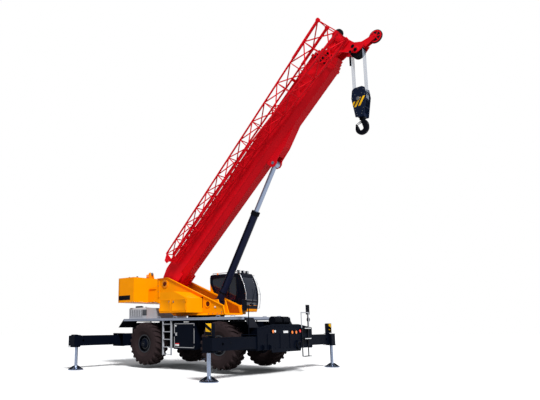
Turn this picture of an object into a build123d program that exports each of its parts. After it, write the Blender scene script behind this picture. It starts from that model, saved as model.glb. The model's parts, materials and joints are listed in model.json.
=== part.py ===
"""Two-axle rough-terrain crane on its four outriggers.

Millimetres. +X is the carrier's front, +Y its left side, +Z up. The origin is on
the ground under the slewing axis. Boom pieces are drawn in boom axes (origin at
the foot pin, X along the boom, Z square to it) and then placed at the luff angle.
"""
from build123d import *
import math
import os

# Running gaps, shared by everything that slides, turns or seats.
SEAT_GAP = 0.3
PIN_GAP = 0.4
RUN_GAP = 6.0

# Wheels and axles.
TYRE_RADIUS = 875.0
TYRE_WIDTH = 675.0
TYRE_LIFT = 121.0
LUG_HEIGHT = 62.0
LUG_COUNT = 16
LUG_WIDTH = 100.0
LUG_SLANT = 24.0
LUG_MARGIN = 5.0
LUG_ROOT = 8.0
BEAD_INSET = 100.0
BEAD_HEIGHT = 55.0
SHOULDER_INSET = 45.0
BULGE_RADIUS = 590.0
RIM_RADIUS = 330.0
RIM_WALL = 14.0
RIM_LIP = 36.0
DISC_INSET = 190.0
HUB_RADIUS = 205.0
HUB_LENGTH = 168.0
SPINDLE_RADIUS = 90.0
FRONT_AXLE_X = 2015.0
REAR_AXLE_X = -2025.0
WHEEL_Y = 1345.0
KINGPIN_Y = 1080.0
KINGPIN_RADIUS = 60.0
KINGPIN_END = 270.0
AXLE_BEAM = 125.0
AXLE_BOWL_RADIUS = 235.0
AXLE_BOWL_HALF = 175.0
AXLE_NOSE = 330.0
AXLE_NOSE_RADIUS = 95.0
YOKE_REACH = 130.0
YOKE_TOP = 180.0
YOKE_PLATE = 70.0
YOKE_HALF = 75.0

# Carrier frame and deck.
FRAME_HALF = 470.0
FRAME_BOTTOM = 1260.0
FRAME_TOP = 1860.0
FRAME_WALL = 16.0
DECK_TOP = 2020.0
DECK_EDGE = 100.0
DECK_HALF = 1540.0
DECK_FRONT = 3080.0
DECK_REAR = -3480.0
DECK_PLATE = 12.0
RING_RADIUS = 760.0
RING_HOLE = 520.0
RING_TOP = 2120.0

# Outriggers. The right beams lie outboard in the boxes and the left ones inboard.
BOX_INNER_X = 3200.0
BOX_OUTER_X = 3870.0
BOX_HALF = 1780.0
BOX_BOTTOM = 880.0
BOX_TOP = 1400.0
BOX_WALL = 14.0
FACE_PLATE = 16.0
NOSE_TOP = 1735.0
BEAM_WIDTH = 297.0
BEAM_BOTTOM = 935.0
BEAM_TOP = 1340.0
BEAM_WALL = 12.0
BEAM_INNER_END = 1000.0
BEAM_STROKE = 1950.0
JACK_WALL = 53.0
WEAR_PAD = 80.0
JACK_X = 3546.0
JACK_Y = 3877.0
JACK_RADIUS = 62.0
JACK_STROKE = 350.0
JACK_BOTTOM_PLATE = 905.0
JACK_HOUSING_TOP = 1365.0
FLOAT_RADIUS = 305.0
FLOAT_HEIGHT = 135.0
BEAM_OUTER_END = 4060.0
MARKER_BOTTOM = 1390.0
MARKER_TOP = 1790.0

# Superstructure.
PLATE_INNER = 505.0
PLATE_THICK = 40.0
TURNTABLE_BOTTOM = 2130.0
TURNTABLE_FLOOR = 2200.0
BOOM_PIVOT_X = -1900.0
BOOM_PIVOT_Z = 3520.0
FOOT_PIN_RADIUS = 95.0
CW_FRONT = -3000.0
CW_REAR = -4200.0
CW_BOTTOM = 2750.0
CW_TOP = 3840.0
CW_HALF = 1400.0
WINCH_X = -2690.0
WINCH_Z = 3130.0
WINCH_DRUM = 190.0
WINCH_FLANGE = 290.0
AUX_WINCH_X = -2160.0
AUX_WINCH_Z = 2950.0
AUX_WINCH_FLANGE = 230.0
AUX_WINCH_DRUM = 150.0
HOOD_CUT = 2640.0
HOOD_TOP = 2500.0
HOOD_REAR = -3456.0
HOOD_HALF = 1250.0
HINGE_PIN = 9.0
HINGE_BARREL = 17.0

# Cab.
CAB_INNER_Y = 610.0
CAB_OUTER_Y = 1480.0
CAB_BOTTOM = 2270.0
CAB_ROOF = 3860.0
CAB_REAR = -300.0
CAB_WALL = 45.0
GLASS_THICK = 8.0

# Boom, in boom axes.
LUFF_REST = 43.6
LUFF_MAX = 80.0
BASE_HALF = 420.0
BASE_TOP = 550.0
BASE_BOTTOM = -450.0
BASE_FLAT_HALF = 200.0
BASE_KNEE = -250.0
BASE_END = 11040.0
BOOM_WALL = 11.0
NEST_STEP = 42.0
SECTION_COUNT = 4
COLLAR_LENGTH = 105.0
COLLAR_LIP = 26.0
TELESCOPE_STROKE = 8200.0
LIFT_PIN_S = 7020.0
LIFT_PIN_T = -680.0
LIFT_PIN_RADIUS = 62.0
HEAD_PIN_S = 11900.0
HEAD_PIN_T = -765.0
SHEAVE_RADIUS = 225.0
SHEAVE_WIDTH = 44.0
SHEAVE_PITCH = 74.0
SHEAVE_COUNT = 4

# Lift cylinder.
LIFT_FOOT_X = 700.0
LIFT_FOOT_Z = 2650.0
LIFT_BARREL_RADIUS = 152.0
LIFT_BARREL_WALL = 26.0
LIFT_ROD_RADIUS = 92.0
LIFT_BARREL_LENGTH = 4000.0
LIFT_EYE_RADIUS = 150.0

# Hook.
ROPE_RADIUS = 9.5
GROOVE_DEPTH = 20.0
BLOCK_CENTRE_DROP = 1822.0
BLOCK_HALF = 265.0
BLOCK_RISE = 430.0
BLOCK_FALL = 630.0
CROSSHEAD_LOW = 620.0
CROSSHEAD_DEPTH = 120.0
HOOK_LOW_Z = 8120.0
HOOK_OUTER = 230.0
HOOK_EYE = 78.0
HOOK_EYE_OFFSET = 45.0
HOOK_THICK = 130.0
HOOK_EDGE = 20.0
HOOK_SHANK = 52.0

FRONT = 1
REAR = -1
LEFT = 1
RIGHT = -1


def block(x0, x1, y0, y1, z0, z1):
    """A box given by its low and high corners."""
    size = Box(abs(x1 - x0), abs(y1 - y0), abs(z1 - z0))
    return Pos((x0 + x1) / 2, (y0 + y1) / 2, (z0 + z1) / 2) * size


def rod(start, end, radius):
    """A round bar between two points."""
    a = Vector(*start)
    b = Vector(*end)
    plane = Plane(origin=a, z_dir=b - a)
    return extrude(plane * Circle(radius), (b - a).length)


def profile_plate(points, y0, y1, corner=0):
    """A plate with an outline of (x, z) points, from y0 to y1."""
    face = make_face(Polyline(*points, close=True))
    if corner:
        face = fillet(face.vertices(), corner)
    solid = extrude(Plane.XZ * face, abs(y1 - y0))
    return Pos(0, max(y0, y1), 0) * solid


def cross_plate(points, x0, x1, corner=0):
    """A plate with an outline of (y, z) points, from x0 to x1."""
    face = make_face(Polyline(*points, close=True))
    if corner:
        face = fillet(face.vertices(), corner)
    solid = extrude(Plane.YZ * face, abs(x1 - x0))
    return Pos(min(x0, x1), 0, 0) * solid


def y_disc(x, z, radius, y0, y1):
    """A round piece whose axis lies along Y."""
    return rod((x, min(y0, y1), z), (x, max(y0, y1), z), radius)


def hinge_fixed(x, y, low, high, away):
    """Upright hinge pin with a lug at each end, the lugs reaching to one side of it."""
    piece = rod((x, y, low), (x, y, high), HINGE_PIN)
    for end in (low, high - 24):
        piece += rod((x, y, end), (x, y, end + 24), HINGE_BARREL)
        piece += block(x, x + away[0], y - away[2], y + away[1], end, end + 24)
    return piece


def hinge_moving(x, y, low, high, towards):
    """Barrel that turns on the pin, with its strap on the door."""
    piece = block(x, x + towards[0], y - towards[2], y + towards[1], low + 25, high - 25)
    piece += rod((x, y, low + 25), (x, y, high - 25), HINGE_BARREL)
    return piece - rod((x, y, low), (x, y, high), HINGE_PIN + PIN_GAP)


def wheel_z():
    return TYRE_RADIUS + TYRE_LIFT


# Tyres, rims and knuckles, drawn on the wheel's own axis along Y.


def tyre():
    """Carcass of revolution with slanted lugs out to the tyre radius."""
    half = TYRE_WIDTH / 2
    tread = TYRE_RADIUS - LUG_HEIGHT
    bead = RIM_RADIUS + SEAT_GAP
    bead_half = half - BEAD_INSET
    tread_half = half - SHOULDER_INSET
    outline = [
        (bead, -bead_half),
        (bead + BEAD_HEIGHT, -bead_half),
        (BULGE_RADIUS, -half),
        (tread, -tread_half),
        (tread, tread_half),
        (BULGE_RADIUS, half),
        (bead + BEAD_HEIGHT, bead_half),
        (bead, bead_half),
    ]
    carcass = revolve(Plane.XY * make_face(Polyline(*outline, close=True)), Axis.Y, 360)
    slant = math.radians(LUG_SLANT)
    across = tread_half - 2 * LUG_MARGIN
    length = (across - LUG_WIDTH * math.sin(slant)) / math.cos(slant)
    reach = (length * math.sin(slant) + LUG_WIDTH * math.cos(slant)) / 2
    top = math.sqrt(TYRE_RADIUS**2 - reach**2)
    low = math.sqrt(tread**2 - reach**2) - LUG_ROOT
    lug = Box(LUG_WIDTH, length, top - low)
    lugs = []
    for side in (LEFT, RIGHT):
        for step in range(LUG_COUNT):
            angle = 360 / LUG_COUNT * (step + 0.25 * side)
            place = Rot(0, angle, 0) * Pos(0, side * tread_half / 2, (low + top) / 2)
            lugs.append(place * Rot(0, 0, side * LUG_SLANT) * lug)
    return carcass + lugs


def rim():
    """Rim barrel, flanges, dished disc and planetary hub in one turned outline, outboard +Y."""
    half = TYRE_WIDTH / 2
    seat = RIM_RADIUS
    inner = seat - RIM_WALL
    lip = seat + RIM_LIP
    edge = half - BEAD_INSET + SEAT_GAP
    outer_edge = edge + RIM_WALL
    disc = half - DISC_INSET
    bore = SPINDLE_RADIUS
    bore_end = half - BEAD_INSET + 30
    outline = [
        (0, disc + HUB_LENGTH),
        (110, disc + HUB_LENGTH),
        (HUB_RADIUS - 30, disc + HUB_LENGTH - 30),
        (HUB_RADIUS, disc + 60),
        (inner, disc),
        (inner, outer_edge),
        (lip, outer_edge),
        (lip, edge),
        (seat, edge),
        (seat, -edge),
        (lip, -edge),
        (lip, -outer_edge),
        (inner, -outer_edge),
        (inner, disc - 24),
        (HUB_RADIUS, disc + 20),
        (HUB_RADIUS, disc - 40),
        (bore, disc - 40),
        (bore, bore_end),
        (0, bore_end),
    ]
    return revolve(Plane.XY * make_face(Polyline(*outline, close=True)), Axis.Y, 360)


def knuckle():
    """Steering knuckle about the kingpin at its origin, spindle towards +Y."""
    reach = WHEEL_Y - KINGPIN_Y
    spindle = rod((0, 100, 0), (0, reach + TYRE_WIDTH / 2 - BEAD_INSET, 0), SPINDLE_RADIUS - PIN_GAP)
    drum = rod((0, 95, 0), (0, reach - 30, 0), 190)
    ears = []
    for up in (1, -1):
        low, high = sorted((up * 190, up * 260))
        ears.append(block(-75, 75, -70, 160, low, high))
        low, high = sorted((0, up * 260))
        ears.append(block(-75, 75, 100, 160, low, high))
    arm = block(-250, -60, 100, 160, -35, 35)
    body = spindle + drum + ears + arm
    for up in (1, -1):
        body -= rod((0, 0, up * 180), (0, 0, up * 275), KINGPIN_RADIUS + PIN_GAP)
    return body


def axle_housing(x):
    """Drive axle: cast beam with its bowl, yokes and kingpins, and pads up to the frame."""
    z = wheel_z()
    inner = KINGPIN_Y - YOKE_REACH
    housing = block(x - AXLE_BEAM, x + AXLE_BEAM, -inner, inner, z - AXLE_BEAM, z + AXLE_BEAM)
    housing = chamfer(housing.edges().filter_by(Axis.Y), AXLE_BEAM / 3)
    bowl = rod((x - AXLE_BOWL_HALF, 0, z), (x + AXLE_BOWL_HALF, 0, z), AXLE_BOWL_RADIUS)
    housing += chamfer(bowl.edges(), AXLE_BOWL_RADIUS / 4)
    nose_end = x - math.copysign(AXLE_NOSE, x)
    housing += rod((x, 0, z), (nose_end, 0, z), AXLE_NOSE_RADIUS)
    for side in (LEFT, RIGHT):
        y = side * KINGPIN_Y
        root = side * inner
        housing += block(x - 90, x + 90, root - 25, root + 25, z - YOKE_TOP, z + YOKE_TOP)
        for up in (1, -1):
            low, high = sorted((z + up * (YOKE_TOP - YOKE_PLATE), z + up * YOKE_TOP))
            housing += block(x - YOKE_HALF, x + YOKE_HALF, root, y, low, high)
            housing += rod((x, y, low), (x, y, high), YOKE_HALF)
            housing += rod((x, y, z + up * (YOKE_TOP - 20)), (x, y, z + up * KINGPIN_END), KINGPIN_RADIUS)
        pad_y = side * (FRAME_HALF - 90)
        housing += block(x - 150, x + 150, pad_y - 70, pad_y + 70, z, FRAME_BOTTOM - SEAT_GAP)
    return housing


# Carrier.


def chassis_frame():
    """Closed box girder with the slewing pedestal and tow eyes."""
    inside_x = BOX_INNER_X - SEAT_GAP
    shell = block(-inside_x, inside_x, -FRAME_HALF, FRAME_HALF, FRAME_BOTTOM, FRAME_TOP)
    shell = shell - block(
        -inside_x - 1,
        inside_x + 1,
        -FRAME_HALF + FRAME_WALL,
        FRAME_HALF - FRAME_WALL,
        FRAME_BOTTOM + FRAME_WALL,
        FRAME_TOP - FRAME_WALL,
    )
    pedestal = Pos(0, 0, (FRAME_TOP + RING_TOP - 120) / 2) * Cylinder(RING_RADIUS - 30, RING_TOP - 120 - FRAME_TOP)
    pedestal -= Pos(0, 0, FRAME_TOP + 100) * Cylinder(RING_HOLE, 400)
    frame = shell + pedestal
    for side in (LEFT, RIGHT):
        for x in (-2900, -900, 0, 900, 2900):
            low = FRAME_TOP + 10 if x == 0 else FRAME_TOP - 140
            high = RING_TOP - 130 if x == 0 else DECK_TOP - DECK_PLATE - SEAT_GAP
            frame += block(x - 10, x + 10, side * (FRAME_HALF - 40), side * FRAME_HALF, FRAME_TOP - 30, high)
            if abs(x) > 2000:
                low = FRAME_TOP + 40
            frame += block(x - 10, x + 10, side * (FRAME_HALF - 40), side * (DECK_HALF - 100), low, high)
    return frame


def slew_ring():
    """Slewing bearing's outer race with its bolt flange."""
    low = RING_TOP - 120 + SEAT_GAP
    race = Pos(0, 0, (low + RING_TOP) / 2) * Cylinder(RING_RADIUS, RING_TOP - low)
    race -= Pos(0, 0, RING_TOP) * Cylinder(RING_HOLE + 90, 400)
    return race


def deck():
    """Deck plate with its deep edge strip, fender ends and the ring opening."""
    plate = block(DECK_REAR, DECK_FRONT, -DECK_HALF, DECK_HALF, DECK_TOP - DECK_PLATE, DECK_TOP)
    rim_strip = block(DECK_REAR, DECK_FRONT, -DECK_HALF, DECK_HALF, DECK_TOP - DECK_EDGE, DECK_TOP)
    rim_strip -= block(
        DECK_REAR + 30,
        DECK_FRONT - 30,
        -DECK_HALF + 30,
        DECK_HALF - 30,
        DECK_TOP - DECK_EDGE - 1,
        DECK_TOP - DECK_PLATE,
    )
    whole = plate + rim_strip
    whole -= Pos(0, 0, DECK_TOP) * Cylinder(RING_RADIUS + 40, 400)
    for side in (LEFT, RIGHT):
        slope = [
            (DECK_FRONT - 5, DECK_TOP - 12),
            (BOX_OUTER_X - 560, 1640),
            (BOX_OUTER_X - 560, 1628),
            (DECK_FRONT - 5, DECK_TOP - 30),
        ]
        whole += profile_plate(slope, side * 900, side * (DECK_HALF - 100))
        tail = [
            (DECK_REAR + 5, DECK_TOP - 12),
            (DECK_REAR - 330, 1660),
            (DECK_REAR - 330, 1648),
            (DECK_REAR + 5, DECK_TOP - 30),
        ]
        whole += profile_plate(tail, side * 700, side * DECK_HALF)
    return whole


def outrigger_box(end):
    """Transverse hollow box for one pair of beams, with its outer face plate."""
    inner = end * BOX_INNER_X
    outer = end * BOX_OUTER_X
    low = min(inner, outer)
    high = max(inner, outer)
    box = block(low, high, -BOX_HALF, BOX_HALF, BOX_BOTTOM, BOX_TOP)
    box -= block(
        low + BOX_WALL,
        high - BOX_WALL,
        -BOX_HALF - 1,
        BOX_HALF + 1,
        BOX_BOTTOM + BOX_WALL,
        BOX_TOP - BOX_WALL,
    )
    middle = end * (BOX_INNER_X + BOX_OUTER_X) / 2
    box += block(middle - 7, middle + 7, -BOX_HALF, BOX_HALF, BOX_BOTTOM + BOX_WALL, BOX_TOP - BOX_WALL)
    for side in (LEFT, RIGHT):
        x = beam_x(end, side)
        half = BEAM_WIDTH / 2
        mouth = side * BOX_HALF
        pad_end = side * (BOX_HALF - WEAR_PAD)
        box += block(x - half, x + half, pad_end, mouth, BOX_BOTTOM + BOX_WALL, BEAM_BOTTOM - SEAT_GAP)
    if end == FRONT:
        face = [
            (-BOX_HALF, BOX_BOTTOM),
            (-BOX_HALF, 1630),
            (-820, 1755),
            (820, 1755),
            (BOX_HALF, 1630),
            (BOX_HALF, BOX_BOTTOM),
            (970, BOX_BOTTOM),
            (930, 780),
            (-930, 780),
            (-970, BOX_BOTTOM),
        ]
        box += cross_plate(face, BOX_OUTER_X, BOX_OUTER_X + FACE_PLATE)
        for side in (LEFT, RIGHT):
            box += block(BOX_INNER_X, BOX_OUTER_X, side * 800, side * 820, BOX_TOP, NOSE_TOP)
        box += block(BOX_INNER_X, BOX_OUTER_X, -820, 820, NOSE_TOP - 16, NOSE_TOP)
    else:
        for side in (LEFT, RIGHT):
            box += block(low, high, side * 680, side * 700, BOX_TOP, FRAME_TOP)
        box += block(low, high, -700, 700, FRAME_TOP - 16, FRAME_TOP)
    return box


def beam_x(end, side):
    """The middle of one beam along X."""
    quarter = (BOX_OUTER_X - BOX_INNER_X) / 4
    middle = (BOX_INNER_X + BOX_OUTER_X) / 2
    return end * (middle - side * quarter)


def outrigger_beam(end, side):
    """Hollow beam with its deeper jack housing, and a striped marker at the front."""
    x = beam_x(end, side)
    half = BEAM_WIDTH / 2
    y_in = side * BEAM_INNER_END
    y_out = side * BEAM_OUTER_END
    beam = block(x - half, x + half, y_in, y_out, BEAM_BOTTOM, BEAM_TOP)
    housing_in = side * (JACK_Y - JACK_RADIUS - JACK_WALL)
    beam -= block(
        x - half + BEAM_WALL,
        x + half - BEAM_WALL,
        y_in - side,
        housing_in - side * 40,
        BEAM_BOTTOM + BEAM_WALL,
        BEAM_TOP - BEAM_WALL,
    )
    heel = y_in + side * WEAR_PAD
    beam += block(x - half, x + half, y_in, heel, BEAM_TOP, BOX_TOP - BOX_WALL - SEAT_GAP)
    jack_x = end * JACK_X
    reach = jack_x + math.copysign(JACK_RADIUS + 40, jack_x - x)
    housing_x = sorted((x, reach))
    beam += block(housing_x[0], housing_x[1], housing_in, y_out, JACK_BOTTOM_PLATE, JACK_HOUSING_TOP)
    plate_in = side * (JACK_Y - JACK_RADIUS - 20)
    beam += block(
        min(x - half, reach) - 12,
        max(x + half, reach) + 12,
        plate_in,
        y_out + side * 30,
        JACK_BOTTOM_PLATE - 22,
        JACK_BOTTOM_PLATE,
    )
    beam -= x_hole(x, side * 3550, 1140, 45, BEAM_WIDTH + 60)
    bore_top = JACK_HOUSING_TOP - 12
    bore_foot = (jack_x, side * JACK_Y, JACK_BOTTOM_PLATE - 60)
    beam -= rod(bore_foot, (jack_x, side * JACK_Y, bore_top), JACK_RADIUS + PIN_GAP)
    if end == FRONT:
        post_in = y_out - side * 280
        beam += block(x - 20, x + 20, post_in, y_out, BEAM_TOP - 10, MARKER_TOP - 10)
        beam += block(x - 130, x + 130, y_out - side * 14, y_out, MARKER_BOTTOM, MARKER_TOP)
    return beam


def x_hole(x, y, z, radius, length):
    """A cutter along X through a beam's two side walls."""
    return rod((x - length / 2, y, z), (x + length / 2, y, z), radius)


def outrigger_jack(end, side):
    """Jack rod with its float."""
    x = end * JACK_X
    y = side * JACK_Y
    top = JACK_BOTTOM_PLATE + 60
    shaft = rod((x, y, 60), (x, y, top), JACK_RADIUS)
    float_face = [
        (0, 0),
        (FLOAT_RADIUS, 0),
        (FLOAT_RADIUS, 30),
        (JACK_RADIUS + 50, FLOAT_HEIGHT - 35),
        (JACK_RADIUS + 25, FLOAT_HEIGHT + 40),
        (0, FLOAT_HEIGHT + 40),
    ]
    foot = revolve(Plane.XZ * make_face(Polyline(*float_face, close=True)), Axis.Z, 360)
    return shaft + Pos(x, y, 0) * foot


def engine_hood():
    """Hood with louvred sides, hollow around the cut for the turning superstructure."""
    low = DECK_TOP + SEAT_GAP
    hood = block(HOOD_REAR, -1900, -HOOD_HALF, HOOD_HALF, low, HOOD_TOP)
    hood = chamfer(hood.edges().filter_by(Axis.X).group_by(Axis.Z)[-1], 60)
    hood -= block(HOOD_REAR + 30, -1800, -HOOD_HALF + 30, HOOD_HALF - 30, low - 1, HOOD_TOP - 30)
    hood -= Pos(0, 0, HOOD_TOP) * Cylinder(HOOD_CUT, 1200)
    middle = (low + HOOD_TOP - 20) / 2
    wall = Cylinder(HOOD_CUT + 30, HOOD_TOP - 20 - low) - Cylinder(HOOD_CUT, 900)
    hood += (Pos(0, 0, middle) * wall) & block(-3000, -1900, -HOOD_HALF + 15, HOOD_HALF - 15, low, HOOD_TOP)
    for side in (LEFT, RIGHT):
        for row in range(7):
            x = HOOD_REAR + 110 + row * 120
            hood += block(x, x + 60, side * (HOOD_HALF - 2), side * (HOOD_HALF + 22), 2120, 2420)
    for row in range(6):
        z = 2110 + row * 54
        hood += block(HOOD_REAR - 24, HOOD_REAR + 5, -1050, 1050, z, z + 26)
    return hood


def engine_block():
    """The engine as one plain mass under the hood."""
    return block(HOOD_REAR + 110, -2760, -420, 420, DECK_TOP + SEAT_GAP, HOOD_TOP - 60)


def exhaust():
    """Silencer lying on the hood with an upturned tail pipe."""
    z = HOOD_TOP + 45
    body = rod((-3440, -860, z), (-3060, -860, z), 45)
    for x in (-3400, -3140):
        body += block(x, x + 40, -900, -820, HOOD_TOP + SEAT_GAP, z)
    return body + rod((-3060, -860, z), (-2980, -860, z), 26)


def side_tank(side):
    """Closed tank hung on the frame between the wheels."""
    y_in = side * (FRAME_HALF + SEAT_GAP)
    y_out = side * 1480
    tank = block(-400, 740, y_in, y_out, 830, 1850)
    tank -= block(-420, 760, side * 400, side * 900, 800, FRAME_BOTTOM - 80)
    return tank


CABINET_REAR = -410.0
CABINET_FRONT = 750.0
CABINET_BOTTOM = 810.0
CABINET_TOP = 1850.0
CABINET_FACE_Y = -1470.0
CABINET_HINGE_X = CABINET_FRONT - 5
CABINET_HINGE_Y = CABINET_FACE_Y - SEAT_GAP - 24 - HINGE_BARREL + 6
CABINET_HINGES = ((930.0, 1070.0), (1590.0, 1730.0))


def cabinet():
    """Right-hand cabinet: an open steel box behind its door."""
    y_in = -(FRAME_HALF + SEAT_GAP)
    body = block(CABINET_REAR, CABINET_FRONT, CABINET_FACE_Y, y_in, CABINET_BOTTOM, CABINET_TOP)
    body -= block(
        CABINET_REAR + 20,
        CABINET_FRONT - 20,
        CABINET_FACE_Y - 1,
        -930,
        CABINET_BOTTOM + 20,
        CABINET_TOP - 20,
    )
    body -= block(CABINET_REAR - 20, CABINET_FRONT + 20, -900, -400, CABINET_BOTTOM - 10, FRAME_BOTTOM - 80)
    for low, high in CABINET_HINGES:
        body += hinge_fixed(CABINET_HINGE_X, CABINET_HINGE_Y, low, high, (18, 6, 6))
        for end in (low, high - 24):
            x = CABINET_HINGE_X
            body += block(x - 8, x + 18, CABINET_HINGE_Y, CABINET_FACE_Y + 30, end, end + 24)
    return body


def cabinet_door():
    """Framed door over the right-hand cabinet."""
    high_y = CABINET_FACE_Y - SEAT_GAP
    low_y = high_y - 24
    left = CABINET_REAR + 5
    right = CABINET_FRONT - 5
    door = block(left, right, low_y, high_y, CABINET_BOTTOM + 5, CABINET_TOP - 5)
    door -= block(left + 60, right - 60, low_y - 1, low_y + 8, CABINET_BOTTOM + 65, CABINET_TOP - 65)
    door += block(left + 20, left + 70, low_y - 20, low_y, 1300, 1420)
    for low, high in CABINET_HINGES:
        door -= block(right - 20, right + 20, CABINET_HINGE_Y, CABINET_FACE_Y, low - 6, high + 6)
        door += hinge_moving(CABINET_HINGE_X, CABINET_HINGE_Y, low, high, (-60, 12, 0))
    return door


LADDER_REAR = -1020.0
LADDER_FRONT = -525.0


def right_ladder():
    """Ladder from the deck edge down between the right wheels."""
    ladder = None
    for x in (LADDER_REAR, LADDER_FRONT - 30):
        rail = block(x, x + 30, -1535, -1455, 560, DECK_TOP - DECK_EDGE - SEAT_GAP)
        ladder = rail if ladder is None else ladder + rail
    for z in (600, 880, 1180, 1480, 1780):
        ladder += block(LADDER_REAR, LADDER_FRONT, -1535, -1455, z - 14, z + 14)
    return ladder


def front_steps():
    """Steps, hanging stirrup and hand rail at the front left corner."""
    face_x = BOX_OUTER_X + FACE_PLATE + SEAT_GAP
    steps = block(face_x, face_x + 150, 1020, 1460, 1585, 1610)
    steps += block(face_x, face_x + 150, 1020, 1460, 1205, 1230)
    for y in (1020, 1440):
        steps += block(face_x, face_x + 40, y, y + 20, 560, 1610)
    steps += block(face_x, face_x + 150, 1020, 1460, 560, 585)
    rail = rod((face_x + 40, 980, 1560), (face_x + 40, 980, 2190), 17)
    rail += rod((face_x + 40, 980, 2190), (face_x + 40, 1500, 2190), 17)
    rail += rod((face_x + 40, 1500, 2190), (face_x + 40, 1500, 1560), 17)
    rail += block(face_x, face_x + 60, 960, 1040, 1560, 1590)
    rail += block(face_x, face_x + 60, 1440, 1520, 1560, 1590)
    return steps + rail


def right_mirror():
    """Mirror head on a stalk from the front deck's right corner."""
    x = 3250
    y = -1500
    post = rod((x + 70, y, BOX_TOP + SEAT_GAP), (x + 70, y, 2420), 17)
    arm = rod((x + 70, y, 2400), (x, y - 60, 2400), 14)
    head = block(x - 40, x + 20, y - 200, y - 20, 2220, 2600)
    return post + arm + head


def left_mirror():
    """Mirror head over a round wide-angle mirror on the front left post."""
    x = 3770
    y = 1700
    post = rod((x, y, BOX_TOP + SEAT_GAP), (x, y, 2440), 17)
    head = block(x - 20, x + 25, y - 75, y + 120, 2130, 2490)
    wide = rod((x - 20, y + 40, 1930), (x + 25, y + 40, 1930), 85)
    return post + head + wide


def nose_cylinders():
    """Twin reservoirs lying across the front."""
    z = NOSE_TOP + SEAT_GAP + 150
    tank = rod((3560, -420, z), (3560, 25, z), 150)
    other = rod((3560, 135, z), (3560, 570, z), 150)
    return tank, other


def lamps():
    """Front lamps as short round lenses on the face plate."""
    face_x = BOX_OUTER_X + FACE_PLATE + SEAT_GAP
    spots = ((-900, 1500, 55), (-780, 1500, 45), (330, 1460, 55), (600, 1460, 55), (860, 1500, 55))
    return [rod((face_x, y, z), (face_x + 40, y, z), radius) for y, z, radius in spots]


# Superstructure.


def side_plate_outline():
    """Outline of one superstructure side plate, in X and Z."""
    return [
        (CW_FRONT - SEAT_GAP - 120, CW_BOTTOM + 10),
        (CW_FRONT - SEAT_GAP - 120, 3350),
        (-2450, 3450),
        (-2380, 3780),
        (-1720, 3780),
        (1380, 2500),
        (1460, TURNTABLE_BOTTOM),
        (-1350, TURNTABLE_BOTTOM),
        (-2250, 2680),
        (-2500, CW_BOTTOM + 10),
    ]


def turntable():
    """Two side plates, floor, cross members, cylinder lugs and the boom foot pin."""
    outline = side_plate_outline()
    outline[0] = (CW_FRONT + SEAT_GAP, CW_BOTTOM + 10)
    outline[1] = (CW_FRONT + SEAT_GAP, 3350)
    body = None
    for side in (LEFT, RIGHT):
        plate = profile_plate(outline, side * PLATE_INNER, side * (PLATE_INNER + PLATE_THICK))
        body = plate if body is None else body + plate
    floor = block(-1330, 1440, -PLATE_INNER - 20, PLATE_INNER + 20, TURNTABLE_BOTTOM, TURNTABLE_FLOOR)
    floor += Pos(0, 0, (TURNTABLE_BOTTOM + TURNTABLE_FLOOR) / 2) * Cylinder(
        RING_RADIUS + 60, TURNTABLE_FLOOR - TURNTABLE_BOTTOM
    )
    body += floor
    spigot_low = RING_TOP - 60
    spigot = Cylinder(RING_HOLE + 90 - RUN_GAP, TURNTABLE_BOTTOM - spigot_low + 10)
    body += Pos(0, 0, (TURNTABLE_BOTTOM + 10 + spigot_low) / 2) * spigot
    track_low = RING_TOP + SEAT_GAP
    track = Cylinder(RING_HOLE + 180, TURNTABLE_BOTTOM + 10 - track_low) - Cylinder(RING_HOLE + 110, 100)
    body += Pos(0, 0, (TURNTABLE_BOTTOM + 10 + track_low) / 2) * track
    for x in (-60, 900):
        body += block(x, x + 120, PLATE_INNER + 5, CAB_OUTER_Y - 120, TURNTABLE_FLOOR - 20, CAB_BOTTOM - SEAT_GAP)
    rear_floor = [(-1330, TURNTABLE_BOTTOM), (-2250, 2680), (-2500, CW_BOTTOM + 10), (CW_FRONT + SEAT_GAP, CW_BOTTOM + 10)]
    rear_floor += [(CW_FRONT + SEAT_GAP, CW_BOTTOM + 40), (-2480, CW_BOTTOM + 40), (-2240, 2715), (-1330, TURNTABLE_BOTTOM + 45)]
    body += profile_plate(rear_floor, -PLATE_INNER - 5, PLATE_INNER + 5)
    lug_outline = [
        (LIFT_FOOT_X - 330, TURNTABLE_FLOOR - 10),
        (LIFT_FOOT_X - 150, LIFT_FOOT_Z + 110),
        (LIFT_FOOT_X + 150, LIFT_FOOT_Z + 110),
        (LIFT_FOOT_X + 330, TURNTABLE_FLOOR - 10),
    ]
    for side in (LEFT, RIGHT):
        body += profile_plate(lug_outline, side * 205, side * 260)
    body += y_disc(BOOM_PIVOT_X, BOOM_PIVOT_Z, FOOT_PIN_RADIUS, -PLATE_INNER - 70, PLATE_INNER + 70)
    for side in (LEFT, RIGHT):
        body += y_disc(
            BOOM_PIVOT_X,
            BOOM_PIVOT_Z,
            190,
            side * (PLATE_INNER + PLATE_THICK - 5),
            side * (PLATE_INNER + PLATE_THICK + 20),
        )
    return body


def counterweight():
    """Counterweight slab with its stepped front and rounded rear corners."""
    slab = block(CW_REAR, CW_FRONT - SEAT_GAP, -CW_HALF, CW_HALF, CW_BOTTOM, CW_TOP)
    slab = fillet(slab.edges().filter_by(Axis.Z).group_by(Axis.X)[0], 220)
    return slab


def winch(x, z, drum_radius, flange):
    """Winch drum with two flanges on the superstructure's cross axis."""
    half = PLATE_INNER - 85
    drum = y_disc(x, z, drum_radius, -half, half)
    for side in (LEFT, RIGHT):
        drum += y_disc(x, z, flange, side * half, side * (half - 28))
        drum += y_disc(x, z, 70, side * half, side * (PLATE_INNER - PIN_GAP))
    return drum


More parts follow.
